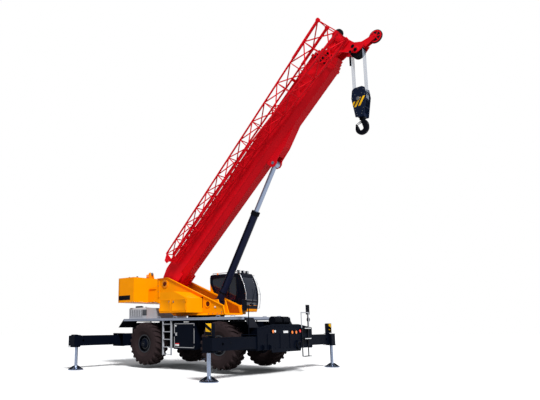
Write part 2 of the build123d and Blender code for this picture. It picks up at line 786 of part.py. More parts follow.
TOOLBOX_REAR = -1240.0
TOOLBOX_FRONT = 280.0
TOOLBOX_BOTTOM = 2230.0
TOOLBOX_TOP = 3080.0
TOOLBOX_NOSE = 2800.0
TOOLBOX_PEAK_X = -390.0
TOOLBOX_OUTER = -1480.0
TOOLBOX_INNER = -(PLATE_INNER + PLATE_THICK + SEAT_GAP)
TOOLBOX_WALL = 25.0
TOOLBOX_SPLIT = -560.0
DOOR_THICK = 22.0


def toolbox_outline(inset):
    """Side outline of the toolbox, drawn in by a distance."""
    return [
        (TOOLBOX_REAR + inset, TOOLBOX_BOTTOM + inset),
        (TOOLBOX_REAR + inset, TOOLBOX_TOP - inset),
        (TOOLBOX_PEAK_X, TOOLBOX_TOP - inset),
        (TOOLBOX_FRONT - inset, TOOLBOX_NOSE - inset),
        (TOOLBOX_FRONT - inset, TOOLBOX_BOTTOM + inset),
    ]


TOOLBOX_HINGE_Y = TOOLBOX_OUTER - SEAT_GAP - DOOR_THICK - HINGE_BARREL + 6
TOOLBOX_HINGES = ((2300.0, 2420.0), (2640.0, 2760.0))


def toolbox_hinge_x(index):
    """Hinge line of a door; 0 is the rear one."""
    return TOOLBOX_REAR + 6 if index == 0 else TOOLBOX_FRONT - 6


def toolbox():
    """Hollow side box, open towards its two doors, with their hinge pins."""
    outer = profile_plate(toolbox_outline(0), TOOLBOX_OUTER, TOOLBOX_INNER)
    inner = profile_plate(toolbox_outline(TOOLBOX_WALL), TOOLBOX_OUTER - 1, TOOLBOX_INNER - TOOLBOX_WALL)
    body = outer - inner
    for index, outward in ((0, -1), (1, 1)):
        x = toolbox_hinge_x(index)
        for low, high in TOOLBOX_HINGES:
            body += hinge_fixed(x, TOOLBOX_HINGE_Y, low, high, (outward * 18, 6, 6))
            for end in (low, high - 24):
                y = sorted((TOOLBOX_HINGE_Y, TOOLBOX_OUTER + 30))
                body += block(x - outward * 8, x + outward * 18, y[0], y[1], end, end + 24)
    return body


def toolbox_door(index):
    """One of the two doors; 0 is the rear one."""
    outline = toolbox_outline(6)
    y_out = TOOLBOX_OUTER - SEAT_GAP - DOOR_THICK
    whole = profile_plate(outline, y_out, TOOLBOX_OUTER - SEAT_GAP)
    gap = RUN_GAP / 2
    if index == 0:
        keep = block(-2000, TOOLBOX_SPLIT - gap, -2000, 0, 2000, 3500)
        latch_x = TOOLBOX_SPLIT - 110
        inward = 1
    else:
        keep = block(TOOLBOX_SPLIT + gap, 2000, -2000, 0, 2000, 3500)
        latch_x = TOOLBOX_SPLIT + 70
        inward = -1
    door = whole & keep
    door += block(latch_x, latch_x + 40, y_out - 18, y_out, 2600, 2680)
    x = toolbox_hinge_x(index)
    for low, high in TOOLBOX_HINGES:
        door -= block(x - 20, x + 20, TOOLBOX_HINGE_Y, TOOLBOX_OUTER, low - 6, high + 6)
        door += hinge_moving(x, TOOLBOX_HINGE_Y, low, high, (inward * 60, 12, 0))
    return door


def cab_outline(inset):
    """Side outline of the cab as a face in the XZ plane: straight back, bowed front."""
    rear = CAB_REAR + inset
    roof = CAB_ROOF - inset
    floor = CAB_BOTTOM + inset
    brow = (1290 - inset * 0.6, roof)
    toe = (1500 - inset, floor)
    bow = (1600 - inset, 3000)
    with_front = [
        Line((rear, 2620), (rear, roof - 60)),
        Line((rear, roof - 60), (rear + 60, roof)),
        Line((rear + 60, roof), brow),
        ThreePointArc(brow, bow, toe),
        Line(toe, (rear + 350, floor)),
        Line((rear + 350, floor), (rear, 2620)),
    ]
    return make_face(Wire(with_front))


def cab_solid(inset, y0, y1):
    solid = extrude(Plane.XZ * cab_outline(inset), y1 - y0)
    return Pos(0, y1, 0) * solid


CAB_SILL = 2520.0
CAB_HEAD = 3760.0
DOOR_REAR = -180.0
DOOR_FRONT = 900.0
DOOR_BOTTOM = 2340.0
CAB_HINGE_Y = CAB_OUTER_Y + HINGE_BARREL + 3
CAB_HINGES = ((2460.0, 2600.0), (3460.0, 3600.0))


def cab_shell():
    """Hollow cab with side, front, roof and rear windows and the door opening cut."""
    shell = cab_solid(0, CAB_INNER_Y, CAB_OUTER_Y)
    shell -= cab_solid(CAB_WALL, CAB_INNER_Y + CAB_WALL, CAB_OUTER_Y - CAB_WALL)
    side_window = block(CAB_REAR + 110, 1180, CAB_INNER_Y - 1, CAB_INNER_Y + CAB_WALL + 1, 2700, CAB_HEAD - 30)
    shell -= side_window
    door_hole = block(DOOR_REAR, DOOR_FRONT, CAB_OUTER_Y - CAB_WALL - 1, CAB_OUTER_Y + 1, DOOR_BOTTOM, CAB_HEAD)
    shell -= door_hole
    quarter = block(DOOR_FRONT + 70, 1230, CAB_OUTER_Y - CAB_WALL - 1, CAB_OUTER_Y + 1, 2700, CAB_HEAD - 120)
    shell -= quarter
    front = block(1130, 1900, CAB_INNER_Y + 55, CAB_OUTER_Y - 55, CAB_SILL, CAB_HEAD - 60)
    shell -= front
    roof = block(450, 1000, CAB_INNER_Y + 110, CAB_OUTER_Y - 110, CAB_ROOF - CAB_WALL - 1, CAB_ROOF + 1)
    shell -= roof
    rear = block(CAB_REAR - 1, CAB_REAR + CAB_WALL + 1, CAB_INNER_Y + 90, CAB_OUTER_Y - 90, 2900, CAB_HEAD - 60)
    shell -= rear
    for low, high in CAB_HINGES:
        shell += hinge_fixed(DOOR_REAR, CAB_HINGE_Y, low, high, (-18, 6, 6))
        for end in (low, high - 24):
            shell += block(DOOR_REAR - 18, DOOR_REAR - 6, CAB_OUTER_Y - 20, CAB_HINGE_Y, end, end + 24)
    return shell


def cab_glass():
    """Fixed panes, each just inside its opening."""
    inset = 18
    skin = cab_solid(inset, CAB_INNER_Y + inset, CAB_OUTER_Y - inset)
    skin -= cab_solid(inset + GLASS_THICK, CAB_INNER_Y + inset + GLASS_THICK, CAB_OUTER_Y - inset - GLASS_THICK)
    gap = SEAT_GAP
    panes = skin & block(
        CAB_REAR + 110 + gap, 1180 - gap, CAB_INNER_Y, CAB_INNER_Y + CAB_WALL, 2700 + gap, CAB_HEAD - 30 - gap
    )
    front = skin & block(
        1130 + gap, 1900, CAB_INNER_Y + 55 + gap, CAB_OUTER_Y - 55 - gap, CAB_SILL + gap, CAB_HEAD - 60 - gap
    )
    roof = skin & block(
        450 + gap, 1000 - gap, CAB_INNER_Y + 110 + gap, CAB_OUTER_Y - 110 - gap, CAB_ROOF - CAB_WALL, CAB_ROOF
    )
    rear = skin & block(
        CAB_REAR, CAB_REAR + CAB_WALL, CAB_INNER_Y + 90 + gap, CAB_OUTER_Y - 90 - gap, 2900 + gap, CAB_HEAD - 60 - gap
    )
    quarter = skin & block(
        DOOR_FRONT + 70 + gap, 1230 - gap, CAB_OUTER_Y - CAB_WALL, CAB_OUTER_Y, 2700 + gap, CAB_HEAD - 120 - gap
    )
    return [panes, front, roof, rear, quarter]


def cab_door():
    """Door with its window opening and pane as one piece."""
    gap = RUN_GAP
    door = block(
        DOOR_REAR + gap, DOOR_FRONT - gap, CAB_OUTER_Y - CAB_WALL + 5, CAB_OUTER_Y + 4, DOOR_BOTTOM + gap, CAB_HEAD - gap
    )
    door -= block(DOOR_REAR + 80, DOOR_FRONT - 80, CAB_OUTER_Y - CAB_WALL, CAB_OUTER_Y + 10, 2760, CAB_HEAD - 80)
    door += block(DOOR_REAR + 70, DOOR_FRONT - 70, CAB_OUTER_Y - 30, CAB_OUTER_Y - 22, 2750, CAB_HEAD - 70)
    for low, high in CAB_HINGES:
        door += hinge_moving(DOOR_REAR, CAB_HINGE_Y, low, high, (60, 0, 17))
    return door


def operator_seat():
    """Seat, pedestal and control console."""
    floor = CAB_BOTTOM + CAB_WALL + SEAT_GAP
    seat = block(150, 600, 800, 1290, floor + 380, floor + 500)
    seat += block(60, 190, 800, 1290, floor + 430, floor + 1100)
    seat += block(260, 480, 930, 1160, floor, floor + 390)
    seat += block(200, 600, 690, 800, floor + 380, floor + 640)
    console = block(1130, 1290, 780, 1310, floor, floor + 560)
    return seat, console


# Boom.


def boom_place(shape):
    return Pos(BOOM_PIVOT_X, 0, BOOM_PIVOT_Z) * Rot(0, -LUFF_REST, 0) * shape


def boom_point(s, t, y=0):
    """Row-frame point of boom axes s, t."""
    angle = math.radians(LUFF_REST)
    x = BOOM_PIVOT_X + s * math.cos(angle) - t * math.sin(angle)
    z = BOOM_PIVOT_Z + s * math.sin(angle) + t * math.cos(angle)
    return (x, y, z)


def boom_profile(inset):
    """Cross-section: flat top, upright sides, tapered floor."""
    half = BASE_HALF - inset
    top = BASE_TOP - inset
    bottom = BASE_BOTTOM + inset
    flat = BASE_FLAT_HALF - inset * 0.45
    points = [
        (-half, top),
        (half, top),
        (half, BASE_KNEE),
        (flat, bottom),
        (-flat, bottom),
        (-half, BASE_KNEE),
    ]
    face = make_face(Polyline(*points, close=True))
    return fillet(face.vertices(), 45)


def boom_tube(inset, wall, start, end):
    """A length of boom section, hollow by its wall."""
    ring = boom_profile(inset) - boom_profile(inset + wall)
    return Pos(start, 0, 0) * extrude(Plane.YZ * ring, end - start)


def boom_collar(index, start):
    """End collar of a section, closed down to the next one, with its wear pads."""
    inset = NEST_STEP * index
    inner = NEST_STEP * (index + 1)
    ring = boom_profile(inset - COLLAR_LIP) - boom_profile(inner - RUN_GAP)
    collar = Pos(start, 0, 0) * extrude(Plane.YZ * ring, COLLAR_LENGTH)
    floor = BASE_BOTTOM + inner - SEAT_GAP
    roof = BASE_TOP - inner + SEAT_GAP
    end = start + COLLAR_LENGTH
    collar += block(start, end, -90, 90, floor - RUN_GAP, floor)
    collar += block(start, end, -220, 220, roof, roof + RUN_GAP)
    return collar


def section_end(index):
    """Where a section's collar ends along the boom."""
    return BASE_END + index * (COLLAR_LENGTH + RUN_GAP)


def boom_base():
    """Base section with foot, lift bracket, collar and jib carriers."""
    tube = boom_tube(0, BOOM_WALL, 420, BASE_END - COLLAR_LENGTH + 1)
    collar = boom_collar(0, BASE_END - COLLAR_LENGTH)
    foot_outline = [
        (-230, -150),
        (-230, 120),
        (20, 410),
        (450, BASE_TOP - 4),
        (900, BASE_TOP - 4),
        (900, BASE_BOTTOM + 60),
        (450, BASE_BOTTOM + 40),
        (60, -260),
    ]
    base = tube + collar
    for side in (LEFT, RIGHT):
        cheek = profile_plate(foot_outline, side * (BASE_HALF - 40), side * (BASE_HALF - 2))
        boss = y_disc(0, 0, 210, side * (BASE_HALF - 60), side * (PLATE_INNER - RUN_GAP))
        base += cheek + boss
    base -= y_disc(0, 0, FOOT_PIN_RADIUS + PIN_GAP, -PLATE_INNER, PLATE_INNER)
    bracket_outline = [
        (LIFT_PIN_S - 60, BASE_BOTTOM + 20),
        (LIFT_PIN_S - 190, BASE_BOTTOM - 30),
        (LIFT_PIN_S - 160, LIFT_PIN_T - 60),
        (LIFT_PIN_S - 40, LIFT_PIN_T - 155),
        (LIFT_PIN_S + 90, LIFT_PIN_T - 140),
        (LIFT_PIN_S + 200, LIFT_PIN_T - 60),
        (LIFT_PIN_S + 760, LIFT_PIN_T - 10),
        (LIFT_PIN_S + 1750, BASE_BOTTOM + 20),
    ]
    for side in (LEFT, RIGHT):
        base += profile_plate(bracket_outline, side * 150, side * 195)
    closing = [
        (LIFT_PIN_S + 330, BASE_BOTTOM + 20),
        (LIFT_PIN_S + 330, LIFT_PIN_T - 30),
        (LIFT_PIN_S + 760, LIFT_PIN_T - 10),
        (LIFT_PIN_S + 1750, BASE_BOTTOM + 20),
    ]
    base += profile_plate(closing, -160, 160)
    base -= y_disc(LIFT_PIN_S, LIFT_PIN_T, LIFT_PIN_RADIUS + PIN_GAP, -220, 220)
    carrier_end = JIB_INNER_Y + JIB_CHORD / 2 + SEAT_GAP
    for s in JIB_CARRIERS:
        base += block(s - 50, s + 50, carrier_end, -BASE_HALF + 8, JIB_TOP_T - 120, JIB_TOP_T + 20)
    return boom_place(base)


def boom_section(index):
    """A moving section with its collar."""
    inset = NEST_STEP * index
    start = 800 + 160 * index
    end = section_end(index)
    tube = boom_tube(inset, BOOM_WALL, start, end - COLLAR_LENGTH + 1)
    roof = BASE_TOP - inset
    outer_roof = BASE_TOP - NEST_STEP * (index - 1) - BOOM_WALL
    tube += block(start, start + 200, -150, 150, roof - 5, outer_roof - SEAT_GAP)
    if index == SECTION_COUNT - 1:
        cap = Pos(end - COLLAR_LENGTH, 0, 0) * extrude(Plane.YZ * boom_profile(inset - COLLAR_LIP), COLLAR_LENGTH)
        return boom_place(tube + cap)
    return boom_place(tube + boom_collar(index, end - COLLAR_LENGTH))


HEAD_START = SEAT_GAP + BASE_END + (SECTION_COUNT - 1) * (COLLAR_LENGTH + RUN_GAP)
HEAD_HALF = SHEAVE_PITCH * SHEAVE_COUNT / 2 + 30
HEAD_PLATE = 24.0
HEAD_PIN_RADIUS = 48.0
GUIDE_S = HEAD_START + 657
GUIDE_T = 430.0
GUIDE_RADIUS = 220.0
GUIDE_PIN = 28.0
ROOSTER_S = HEAD_PIN_S + 700
ROOSTER_T = HEAD_PIN_T - 225
ROOSTER_RADIUS = 240.0
ROOSTER_ARM = 64.0
ROOSTER_PIN = 24.0


def head_outline():
    """Side outline of the boom head plates, in boom axes."""
    return [
        (HEAD_START, 300),
        (GUIDE_S - 150, 330),
        (GUIDE_S - 100, GUIDE_T + 90),
        (GUIDE_S + 80, GUIDE_T + 70),
        (GUIDE_S + 60, 170),
        (GUIDE_S + 45, -330),
        (HEAD_PIN_S + 185, HEAD_PIN_T + 237),
        (HEAD_PIN_S + 315, HEAD_PIN_T + 13),
        (HEAD_PIN_S + 337, HEAD_PIN_T - 150),
        (HEAD_PIN_S + 139, HEAD_PIN_T - 165),
        (HEAD_PIN_S - 65, HEAD_PIN_T - 105),
        (HEAD_PIN_S - 164, HEAD_PIN_T + 125),
        (HEAD_START + 227, -330),
        (HEAD_START, -270),
    ]


def boom_head():
    """Head side plates, covers, sheave pins and the rooster arm."""
    head = None
    for side in (LEFT, RIGHT):
        plate = profile_plate(head_outline(), side * HEAD_HALF, side * (HEAD_HALF + HEAD_PLATE))
        head = plate if head is None else head + plate
    outer = HEAD_HALF + HEAD_PLATE
    head += block(HEAD_START, HEAD_START + 20, -outer, outer, -260, 290)
    head += block(HEAD_START + 40, HEAD_START + 420, -outer, outer, 270, 290)
    head += block(GUIDE_S + 20, GUIDE_S + 40, -outer, outer, -320, 160)
    head += y_disc(HEAD_PIN_S, HEAD_PIN_T, HEAD_PIN_RADIUS, -outer - 30, outer + 30)
    head += y_disc(GUIDE_S, GUIDE_T, GUIDE_PIN, -outer - 15, outer + 15)
    arm = [
        (HEAD_PIN_S + 235, HEAD_PIN_T + 150),
        (ROOSTER_S + 60, ROOSTER_T + 60),
        (ROOSTER_S + 50, ROOSTER_T - 60),
        (ROOSTER_S - 60, ROOSTER_T - 65),
        (HEAD_PIN_S + 250, HEAD_PIN_T - 160),
    ]
    for side in (LEFT, RIGHT):
        head += profile_plate(arm, side * ROOSTER_ARM, side * (ROOSTER_ARM + 16))
    head += block(HEAD_PIN_S + 262, HEAD_PIN_S + 302, -HEAD_HALF - 5, HEAD_HALF + 5, HEAD_PIN_T - 110, HEAD_PIN_T - 10)
    head += y_disc(ROOSTER_S, ROOSTER_T, ROOSTER_PIN, -ROOSTER_ARM - 30, ROOSTER_ARM + 30)
    return boom_place(head)


def grooved_sheave(s, t, y, radius, width, bore):
    """A rope sheave turned with its groove, axis along Y."""
    half = width / 2
    outline = [
        (bore, -half),
        (radius, -half),
        (radius - GROOVE_DEPTH, 0),
        (radius, half),
        (bore, half),
    ]
    disc = revolve(Plane.XY * make_face(Polyline(*outline, close=True)), Axis.Y, 360)
    return Pos(s, y, t) * disc


def head_sheaves():
    """Main sheaves on the head pin, guide sheave on top and the rooster sheave."""
    pieces = []
    for step in range(SHEAVE_COUNT):
        y = (step - (SHEAVE_COUNT - 1) / 2) * SHEAVE_PITCH
        disc = grooved_sheave(HEAD_PIN_S, HEAD_PIN_T, y, SHEAVE_RADIUS, SHEAVE_WIDTH, HEAD_PIN_RADIUS + PIN_GAP)
        pieces.append(boom_place(disc))
    guide = grooved_sheave(GUIDE_S, GUIDE_T, 0, GUIDE_RADIUS, SHEAVE_WIDTH + 10, GUIDE_PIN + PIN_GAP)
    pieces.append(boom_place(guide))
    rooster = grooved_sheave(ROOSTER_S, ROOSTER_T, 0, ROOSTER_RADIUS, SHEAVE_WIDTH, ROOSTER_PIN + PIN_GAP)
    pieces.append(boom_place(rooster))
    return pieces


JIB_BASE_S = 12000.0
JIB_KNEE_S = 7200.0
JIB_TIP_S = 1200.0
JIB_INNER_Y = -570.0
JIB_OUTER_BASE_Y = -1220.0
JIB_OUTER_TIP_Y = -950.0
JIB_TOP_T = 560.0
JIB_BASE_BOTTOM_T = -480.0
JIB_KNEE_BOTTOM_T = 30.0
JIB_TIP_BOTTOM_T = 150.0
JIB_CHORD = 50.0
JIB_BASE_CHORD = 76.0
JIB_FRAME_S = 10500.0
JIB_LACING = 32.0
JIB_LUG_RADIUS = 72.0
JIB_NOSE = 270.0
JIB_BAYS = 13
JIB_CARRIERS = (2250.0, 5600.0, 9900.0)


def jib_outer_y(s):
    share = (s - JIB_TIP_S) / (JIB_BASE_S - JIB_TIP_S)
    return JIB_OUTER_TIP_Y + share * (JIB_OUTER_BASE_Y - JIB_OUTER_TIP_Y)


def jib_bottom_t(s):
    if s > JIB_KNEE_S:
        share = (s - JIB_KNEE_S) / (JIB_BASE_S - JIB_KNEE_S)
        return JIB_KNEE_BOTTOM_T + share * (JIB_BASE_BOTTOM_T - JIB_KNEE_BOTTOM_T)
    share = (s - JIB_TIP_S) / (JIB_KNEE_S - JIB_TIP_S)
    return JIB_TIP_BOTTOM_T + share * (JIB_KNEE_BOTTOM_T - JIB_TIP_BOTTOM_T)


def square_bar(start, end, width):
    """A square bar between two points."""
    a = Vector(*start)
    b = Vector(*end)
    plane = Plane(origin=a, z_dir=b - a)
    return extrude(plane * Rectangle(width, width), (b - a).length)


def jib_corners(s):
    """The four chord points at one place along the jib."""
    low = jib_bottom_t(s)
    outer = jib_outer_y(s)
    return [(s, outer, JIB_TOP_T), (s, JIB_INNER_Y, JIB_TOP_T), (s, JIB_INNER_Y, low), (s, outer, low)]


def jib():
    """Lattice jib folded along the boom's right side."""
    body = None
    corners = [jib_corners(s) for s in (JIB_BASE_S, JIB_KNEE_S, JIB_TIP_S)]
    for first, second in ((0, 1), (1, 2)):
        for corner in range(4):
            bar = square_bar(corners[first][corner], corners[second][corner], JIB_CHORD)
            body = bar if body is None else body + bar
    for near, far in zip(corners[0], jib_corners(JIB_FRAME_S)):
        body += square_bar(near, far, JIB_BASE_CHORD)
    for y in (JIB_OUTER_BASE_Y, JIB_INNER_Y):
        body += y_disc(JIB_BASE_S, JIB_TOP_T, JIB_LUG_RADIUS, y - 45, y + 45)
    nose = [
        (JIB_TIP_S + JIB_CHORD, JIB_TOP_T + JIB_CHORD / 4),
        (JIB_TIP_S + JIB_CHORD, JIB_TIP_BOTTOM_T - JIB_CHORD / 4),
        (JIB_TIP_S - JIB_NOSE, JIB_TIP_BOTTOM_T + 110),
        (JIB_TIP_S - JIB_NOSE, JIB_TOP_T - 130),
    ]
    for y in (JIB_OUTER_TIP_Y, JIB_INNER_Y):
        body += profile_plate(nose, y - 8, y + 8)
    nose_pin_t = (JIB_TOP_T + JIB_TIP_BOTTOM_T) / 2 - 10
    body += y_disc(JIB_TIP_S - JIB_NOSE + 80, nose_pin_t, 32, JIB_OUTER_TIP_Y - 20, JIB_INNER_Y + 10)
    lacing = []
    bay = (JIB_BASE_S - JIB_TIP_S) / JIB_BAYS
    for step in range(JIB_BAYS + 1):
        row = jib_corners(JIB_TIP_S + step * bay)
        for corner in range(4):
            lacing.append(square_bar(row[corner], row[(corner + 1) % 4], JIB_LACING))
        if step == JIB_BAYS:
            break
        ahead = jib_corners(JIB_TIP_S + (step + 1) * bay)
        for corner in range(4):
            beside = (corner + 1) % 4
            if step % 2:
                lacing.append(square_bar(row[corner], ahead[beside], JIB_LACING))
            else:
                lacing.append(square_bar(row[beside], ahead[corner], JIB_LACING))
    return boom_place(body + lacing)


# Lift cylinder, drawn at rest between its two pins.


def lift_direction():
    top = Vector(*boom_point(LIFT_PIN_S, LIFT_PIN_T))
    foot = Vector(LIFT_FOOT_X, 0, LIFT_FOOT_Z)
    span = top - foot
    return foot, top, span.normalized()


def lift_barrel():
    """Barrel with its foot eye and gland."""
    foot, top, along = lift_direction()
    end = foot + along * LIFT_BARREL_LENGTH
    start = foot + along * (LIFT_EYE_RADIUS - 20)
    barrel = rod(tuple(start), tuple(end), LIFT_BARREL_RADIUS)
    bore_start = foot + along * (LIFT_EYE_RADIUS + 120)
    bore_end = foot + along * (LIFT_BARREL_LENGTH - 180)
    barrel -= rod(bore_start, bore_end, LIFT_BARREL_RADIUS - LIFT_BARREL_WALL)
    barrel -= rod(bore_end, (end + along * 5), LIFT_ROD_RADIUS + PIN_GAP)
    eye = y_disc(LIFT_FOOT_X, LIFT_FOOT_Z, LIFT_EYE_RADIUS, -195, 195)
    return barrel + eye


def lift_rod():
    """Chrome rod with its piston and upper eye on the boom's pin."""
    foot, top, along = lift_direction()
    start = foot + along * 2250
    end = top - along * 120
    shaft = rod(tuple(start), tuple(end), LIFT_ROD_RADIUS)
    piston_end = foot + along * 2450
    shaft += rod(start, piston_end, LIFT_BARREL_RADIUS - LIFT_BARREL_WALL - PIN_GAP)
    eye = y_disc(top.X, top.Z, 135, -140, 140)
    pin = y_disc(top.X, top.Z, LIFT_PIN_RADIUS, -205, 205)
    return shaft + eye + pin


# Hook.


def head_pin_point():
    return boom_point(HEAD_PIN_S, HEAD_PIN_T)


def hook_ropes():
    """Falls from the head sheaves to the block."""
    x, y, z = head_pin_point()
    low = z - BLOCK_CENTRE_DROP
    slope = GROOVE_DEPTH / (SHEAVE_WIDTH / 2)
    reach = SHEAVE_RADIUS - GROOVE_DEPTH + (ROPE_RADIUS + SEAT_GAP) * math.hypot(1, slope)
    pieces = []
    for step in range(SHEAVE_COUNT):
        row = (step - (SHEAVE_COUNT - 1) / 2) * SHEAVE_PITCH
        for side in (1, -1):
            pieces.append(rod((x + side * reach, row, low), (x + side * reach, row, z), ROPE_RADIUS))
    return pieces


def hook_block():
    """Two cheek plates with the block sheaves between them and the crosshead below."""
    x, y, z = head_pin_point()
    centre = z - BLOCK_CENTRE_DROP
    half = SHEAVE_PITCH * SHEAVE_COUNT / 2 + 20
    right_side = [
        (0.5 * BLOCK_HALF, BLOCK_RISE),
        (0.85 * BLOCK_HALF, BLOCK_RISE - 60),
        (BLOCK_HALF, 70),
        (0.57 * BLOCK_HALF, -BLOCK_FALL),
    ]
    outline = [(x + across, centre + up) for across, up in right_side]
    outline += [(x - across, centre + up) for across, up in reversed(right_side)]
    block_body = None
    for side in (LEFT, RIGHT):
        cheek = profile_plate(outline, side * half, side * (half + 30))
        block_body = cheek if block_body is None else block_body + cheek
    block_body += y_disc(x, centre, 45, -half - 50, half + 50)
    for step in range(SHEAVE_COUNT):
        row = (step - (SHEAVE_COUNT - 1) / 2) * SHEAVE_PITCH
        block_body += Pos(x, 0, centre) * grooved_sheave(0, 0, row, SHEAVE_RADIUS, SHEAVE_WIDTH, 44)
    low = centre - CROSSHEAD_LOW
    high = low + CROSSHEAD_DEPTH
    block_body += block(x - 110, x + 110, -half - 5, half + 5, low, high)
    block_body -= rod((x, 0, low - 10), (x, 0, high + 10), HOOK_SHANK + PIN_GAP)
    return block_body


def hook():
    """Forged hook drawn as arcs, on its turned shank with a collar and a nut."""
    x, y, z = head_pin_point()
    top = z - BLOCK_CENTRE_DROP - CROSSHEAD_LOW
    neck = top - 60
    mid_x = x - 20
    mid_z = HOOK_LOW_Z + HOOK_OUTER
    eye_x = x - HOOK_EYE_OFFSET
    tip_x = mid_x - HOOK_OUTER + 15
    tip_z = mid_z + 150
    neck_half = HOOK_SHANK + 10
    edge = [
        ThreePointArc((mid_x - HOOK_OUTER, mid_z), (mid_x, HOOK_LOW_Z), (mid_x + HOOK_OUTER, mid_z)),
        ThreePointArc((mid_x + HOOK_OUTER, mid_z), (mid_x + HOOK_OUTER - 25, mid_z + 165), (x + neck_half, neck)),
        Line((x + neck_half, neck), (x - neck_half, neck)),
        Line((x - neck_half, neck), (eye_x + HOOK_EYE, mid_z)),
        ThreePointArc((eye_x + HOOK_EYE, mid_z), (eye_x, mid_z - HOOK_EYE), (eye_x - HOOK_EYE, mid_z)),
        Line((eye_x - HOOK_EYE, mid_z), (tip_x + 45, tip_z)),
        ThreePointArc((tip_x + 45, tip_z), (tip_x + 22, tip_z + 24), (tip_x, tip_z)),
        Line((tip_x, tip_z), (mid_x - HOOK_OUTER, mid_z)),
    ]
    forged = Pos(0, HOOK_THICK / 2, 0) * extrude(Plane.XZ * make_face(Wire(edge)), HOOK_THICK)
    rims = forged.edges().group_by(Axis.Y)
    forged = chamfer(rims[0] + rims[-1], HOOK_EDGE)
    crown = top + CROSSHEAD_DEPTH
    shank = rod((x, 0, neck - 20), (x, 0, crown + 30), HOOK_SHANK)
    nut = rod((x, 0, crown + SEAT_GAP), (x, 0, crown + 50), HOOK_SHANK + 30)
    collar = rod((x, 0, top - 70), (x, 0, top - RUN_GAP), HOOK_SHANK + 45)
    return forged + shank + nut + collar


def export(name, shape):
    """Write one node; lists become one node of separate solids."""
    if isinstance(shape, (list, tuple)):
        shape = Compound(children=[Compound(children=list(piece.solids())) for piece in shape])
    export_step(shape, f"parts/{name}.step")


def place_wheel_piece(shape, end, side, at_kingpin):
    """Put a wheel-axis piece on its corner; the left side keeps +Y outboard."""
    x = FRONT_AXLE_X if end == FRONT else REAR_AXLE_X
    y = side * (KINGPIN_Y if at_kingpin else WHEEL_Y)
    turned = shape if side == LEFT else Rot(0, 0, 180) * shape
    return Pos(x, y, wheel_z()) * turned


def corner_name(end, side):
    return ("front" if end == FRONT else "rear") + "_" + ("left" if side == LEFT else "right")


def main():
    os.makedirs("parts", exist_ok=True)
    tyre_shape = tyre()
    rim_shape = rim()
    knuckle_shape = knuckle()
    for end in (FRONT, REAR):
        for side in (LEFT, RIGHT):
            name = corner_name(end, side)
            export("tyre_" + name, place_wheel_piece(tyre_shape, end, side, False))
            export("rim_" + name, place_wheel_piece(rim_shape, end, side, False))
            export("knuckle_" + name, place_wheel_piece(knuckle_shape, end, side, True))
            export("outrigger_beam_" + name, outrigger_beam(end, side))
            export("outrigger_jack_" + name, outrigger_jack(end, side))
    export("axle_housings", [axle_housing(FRONT_AXLE_X), axle_housing(REAR_AXLE_X)])
    export("chassis_frame", chassis_frame())
    export("outrigger_boxes", [outrigger_box(FRONT), outrigger_box(REAR)])
    export("deck", deck())
    export("slew_ring", slew_ring())
    export("engine_hood", engine_hood())
    export("engine_block", engine_block())
    export("exhaust", exhaust())
    export("left_tank", side_tank(LEFT))
    export("cabinet", cabinet())
    export("cabinet_door", cabinet_door())
    export("ladder_and_steps", [right_ladder(), front_steps()])
    export("mirrors", [left_mirror(), right_mirror()])
    export("nose_cylinders", nose_cylinders())
    export("lamps", lamps())
    export("turntable", turntable())
    export("counterweight", counterweight())
    export("main_winch", winch(WINCH_X, WINCH_Z, WINCH_DRUM, WINCH_FLANGE))
    export("aux_winch", winch(AUX_WINCH_X, AUX_WINCH_Z, AUX_WINCH_DRUM, AUX_WINCH_FLANGE))
    export("toolbox", toolbox())
    export("toolbox_door_rear", toolbox_door(0))
    export("toolbox_door_front", toolbox_door(1))
    export("cab_shell", cab_shell())
    export("cab_glass", cab_glass())
    export("cab_door", cab_door())
    export("operator_seat", operator_seat())
    export("boom_base", boom_base())
    for index in range(1, SECTION_COUNT):
        export(f"boom_section_{index + 1}", boom_section(index))
    export("boom_head", boom_head())
    export("head_sheaves", head_sheaves())
    export("jib", jib())
    export("lift_barrel", lift_barrel())
    export("lift_rod", lift_rod())
    export("hook_ropes", hook_ropes())
    export("hook_block", hook_block())
    export("hook", hook())


main()
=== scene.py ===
"""Finishes, fittings and stage for a two-axle rough-terrain crane.

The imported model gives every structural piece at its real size. This file gives
each of them its finish, adds the fine fittings that ride on them, and sets the
camera, the floor and the light. Metres, with +X towards the carrier's front,
+Y to its left and +Z up, and the origin on the ground under the slewing axis.
"""
import json
import logging
import math
from dataclasses import dataclass
from enum import Enum, IntEnum
from typing import Callable, Sequence

import bpy
from mathutils import Matrix, Vector

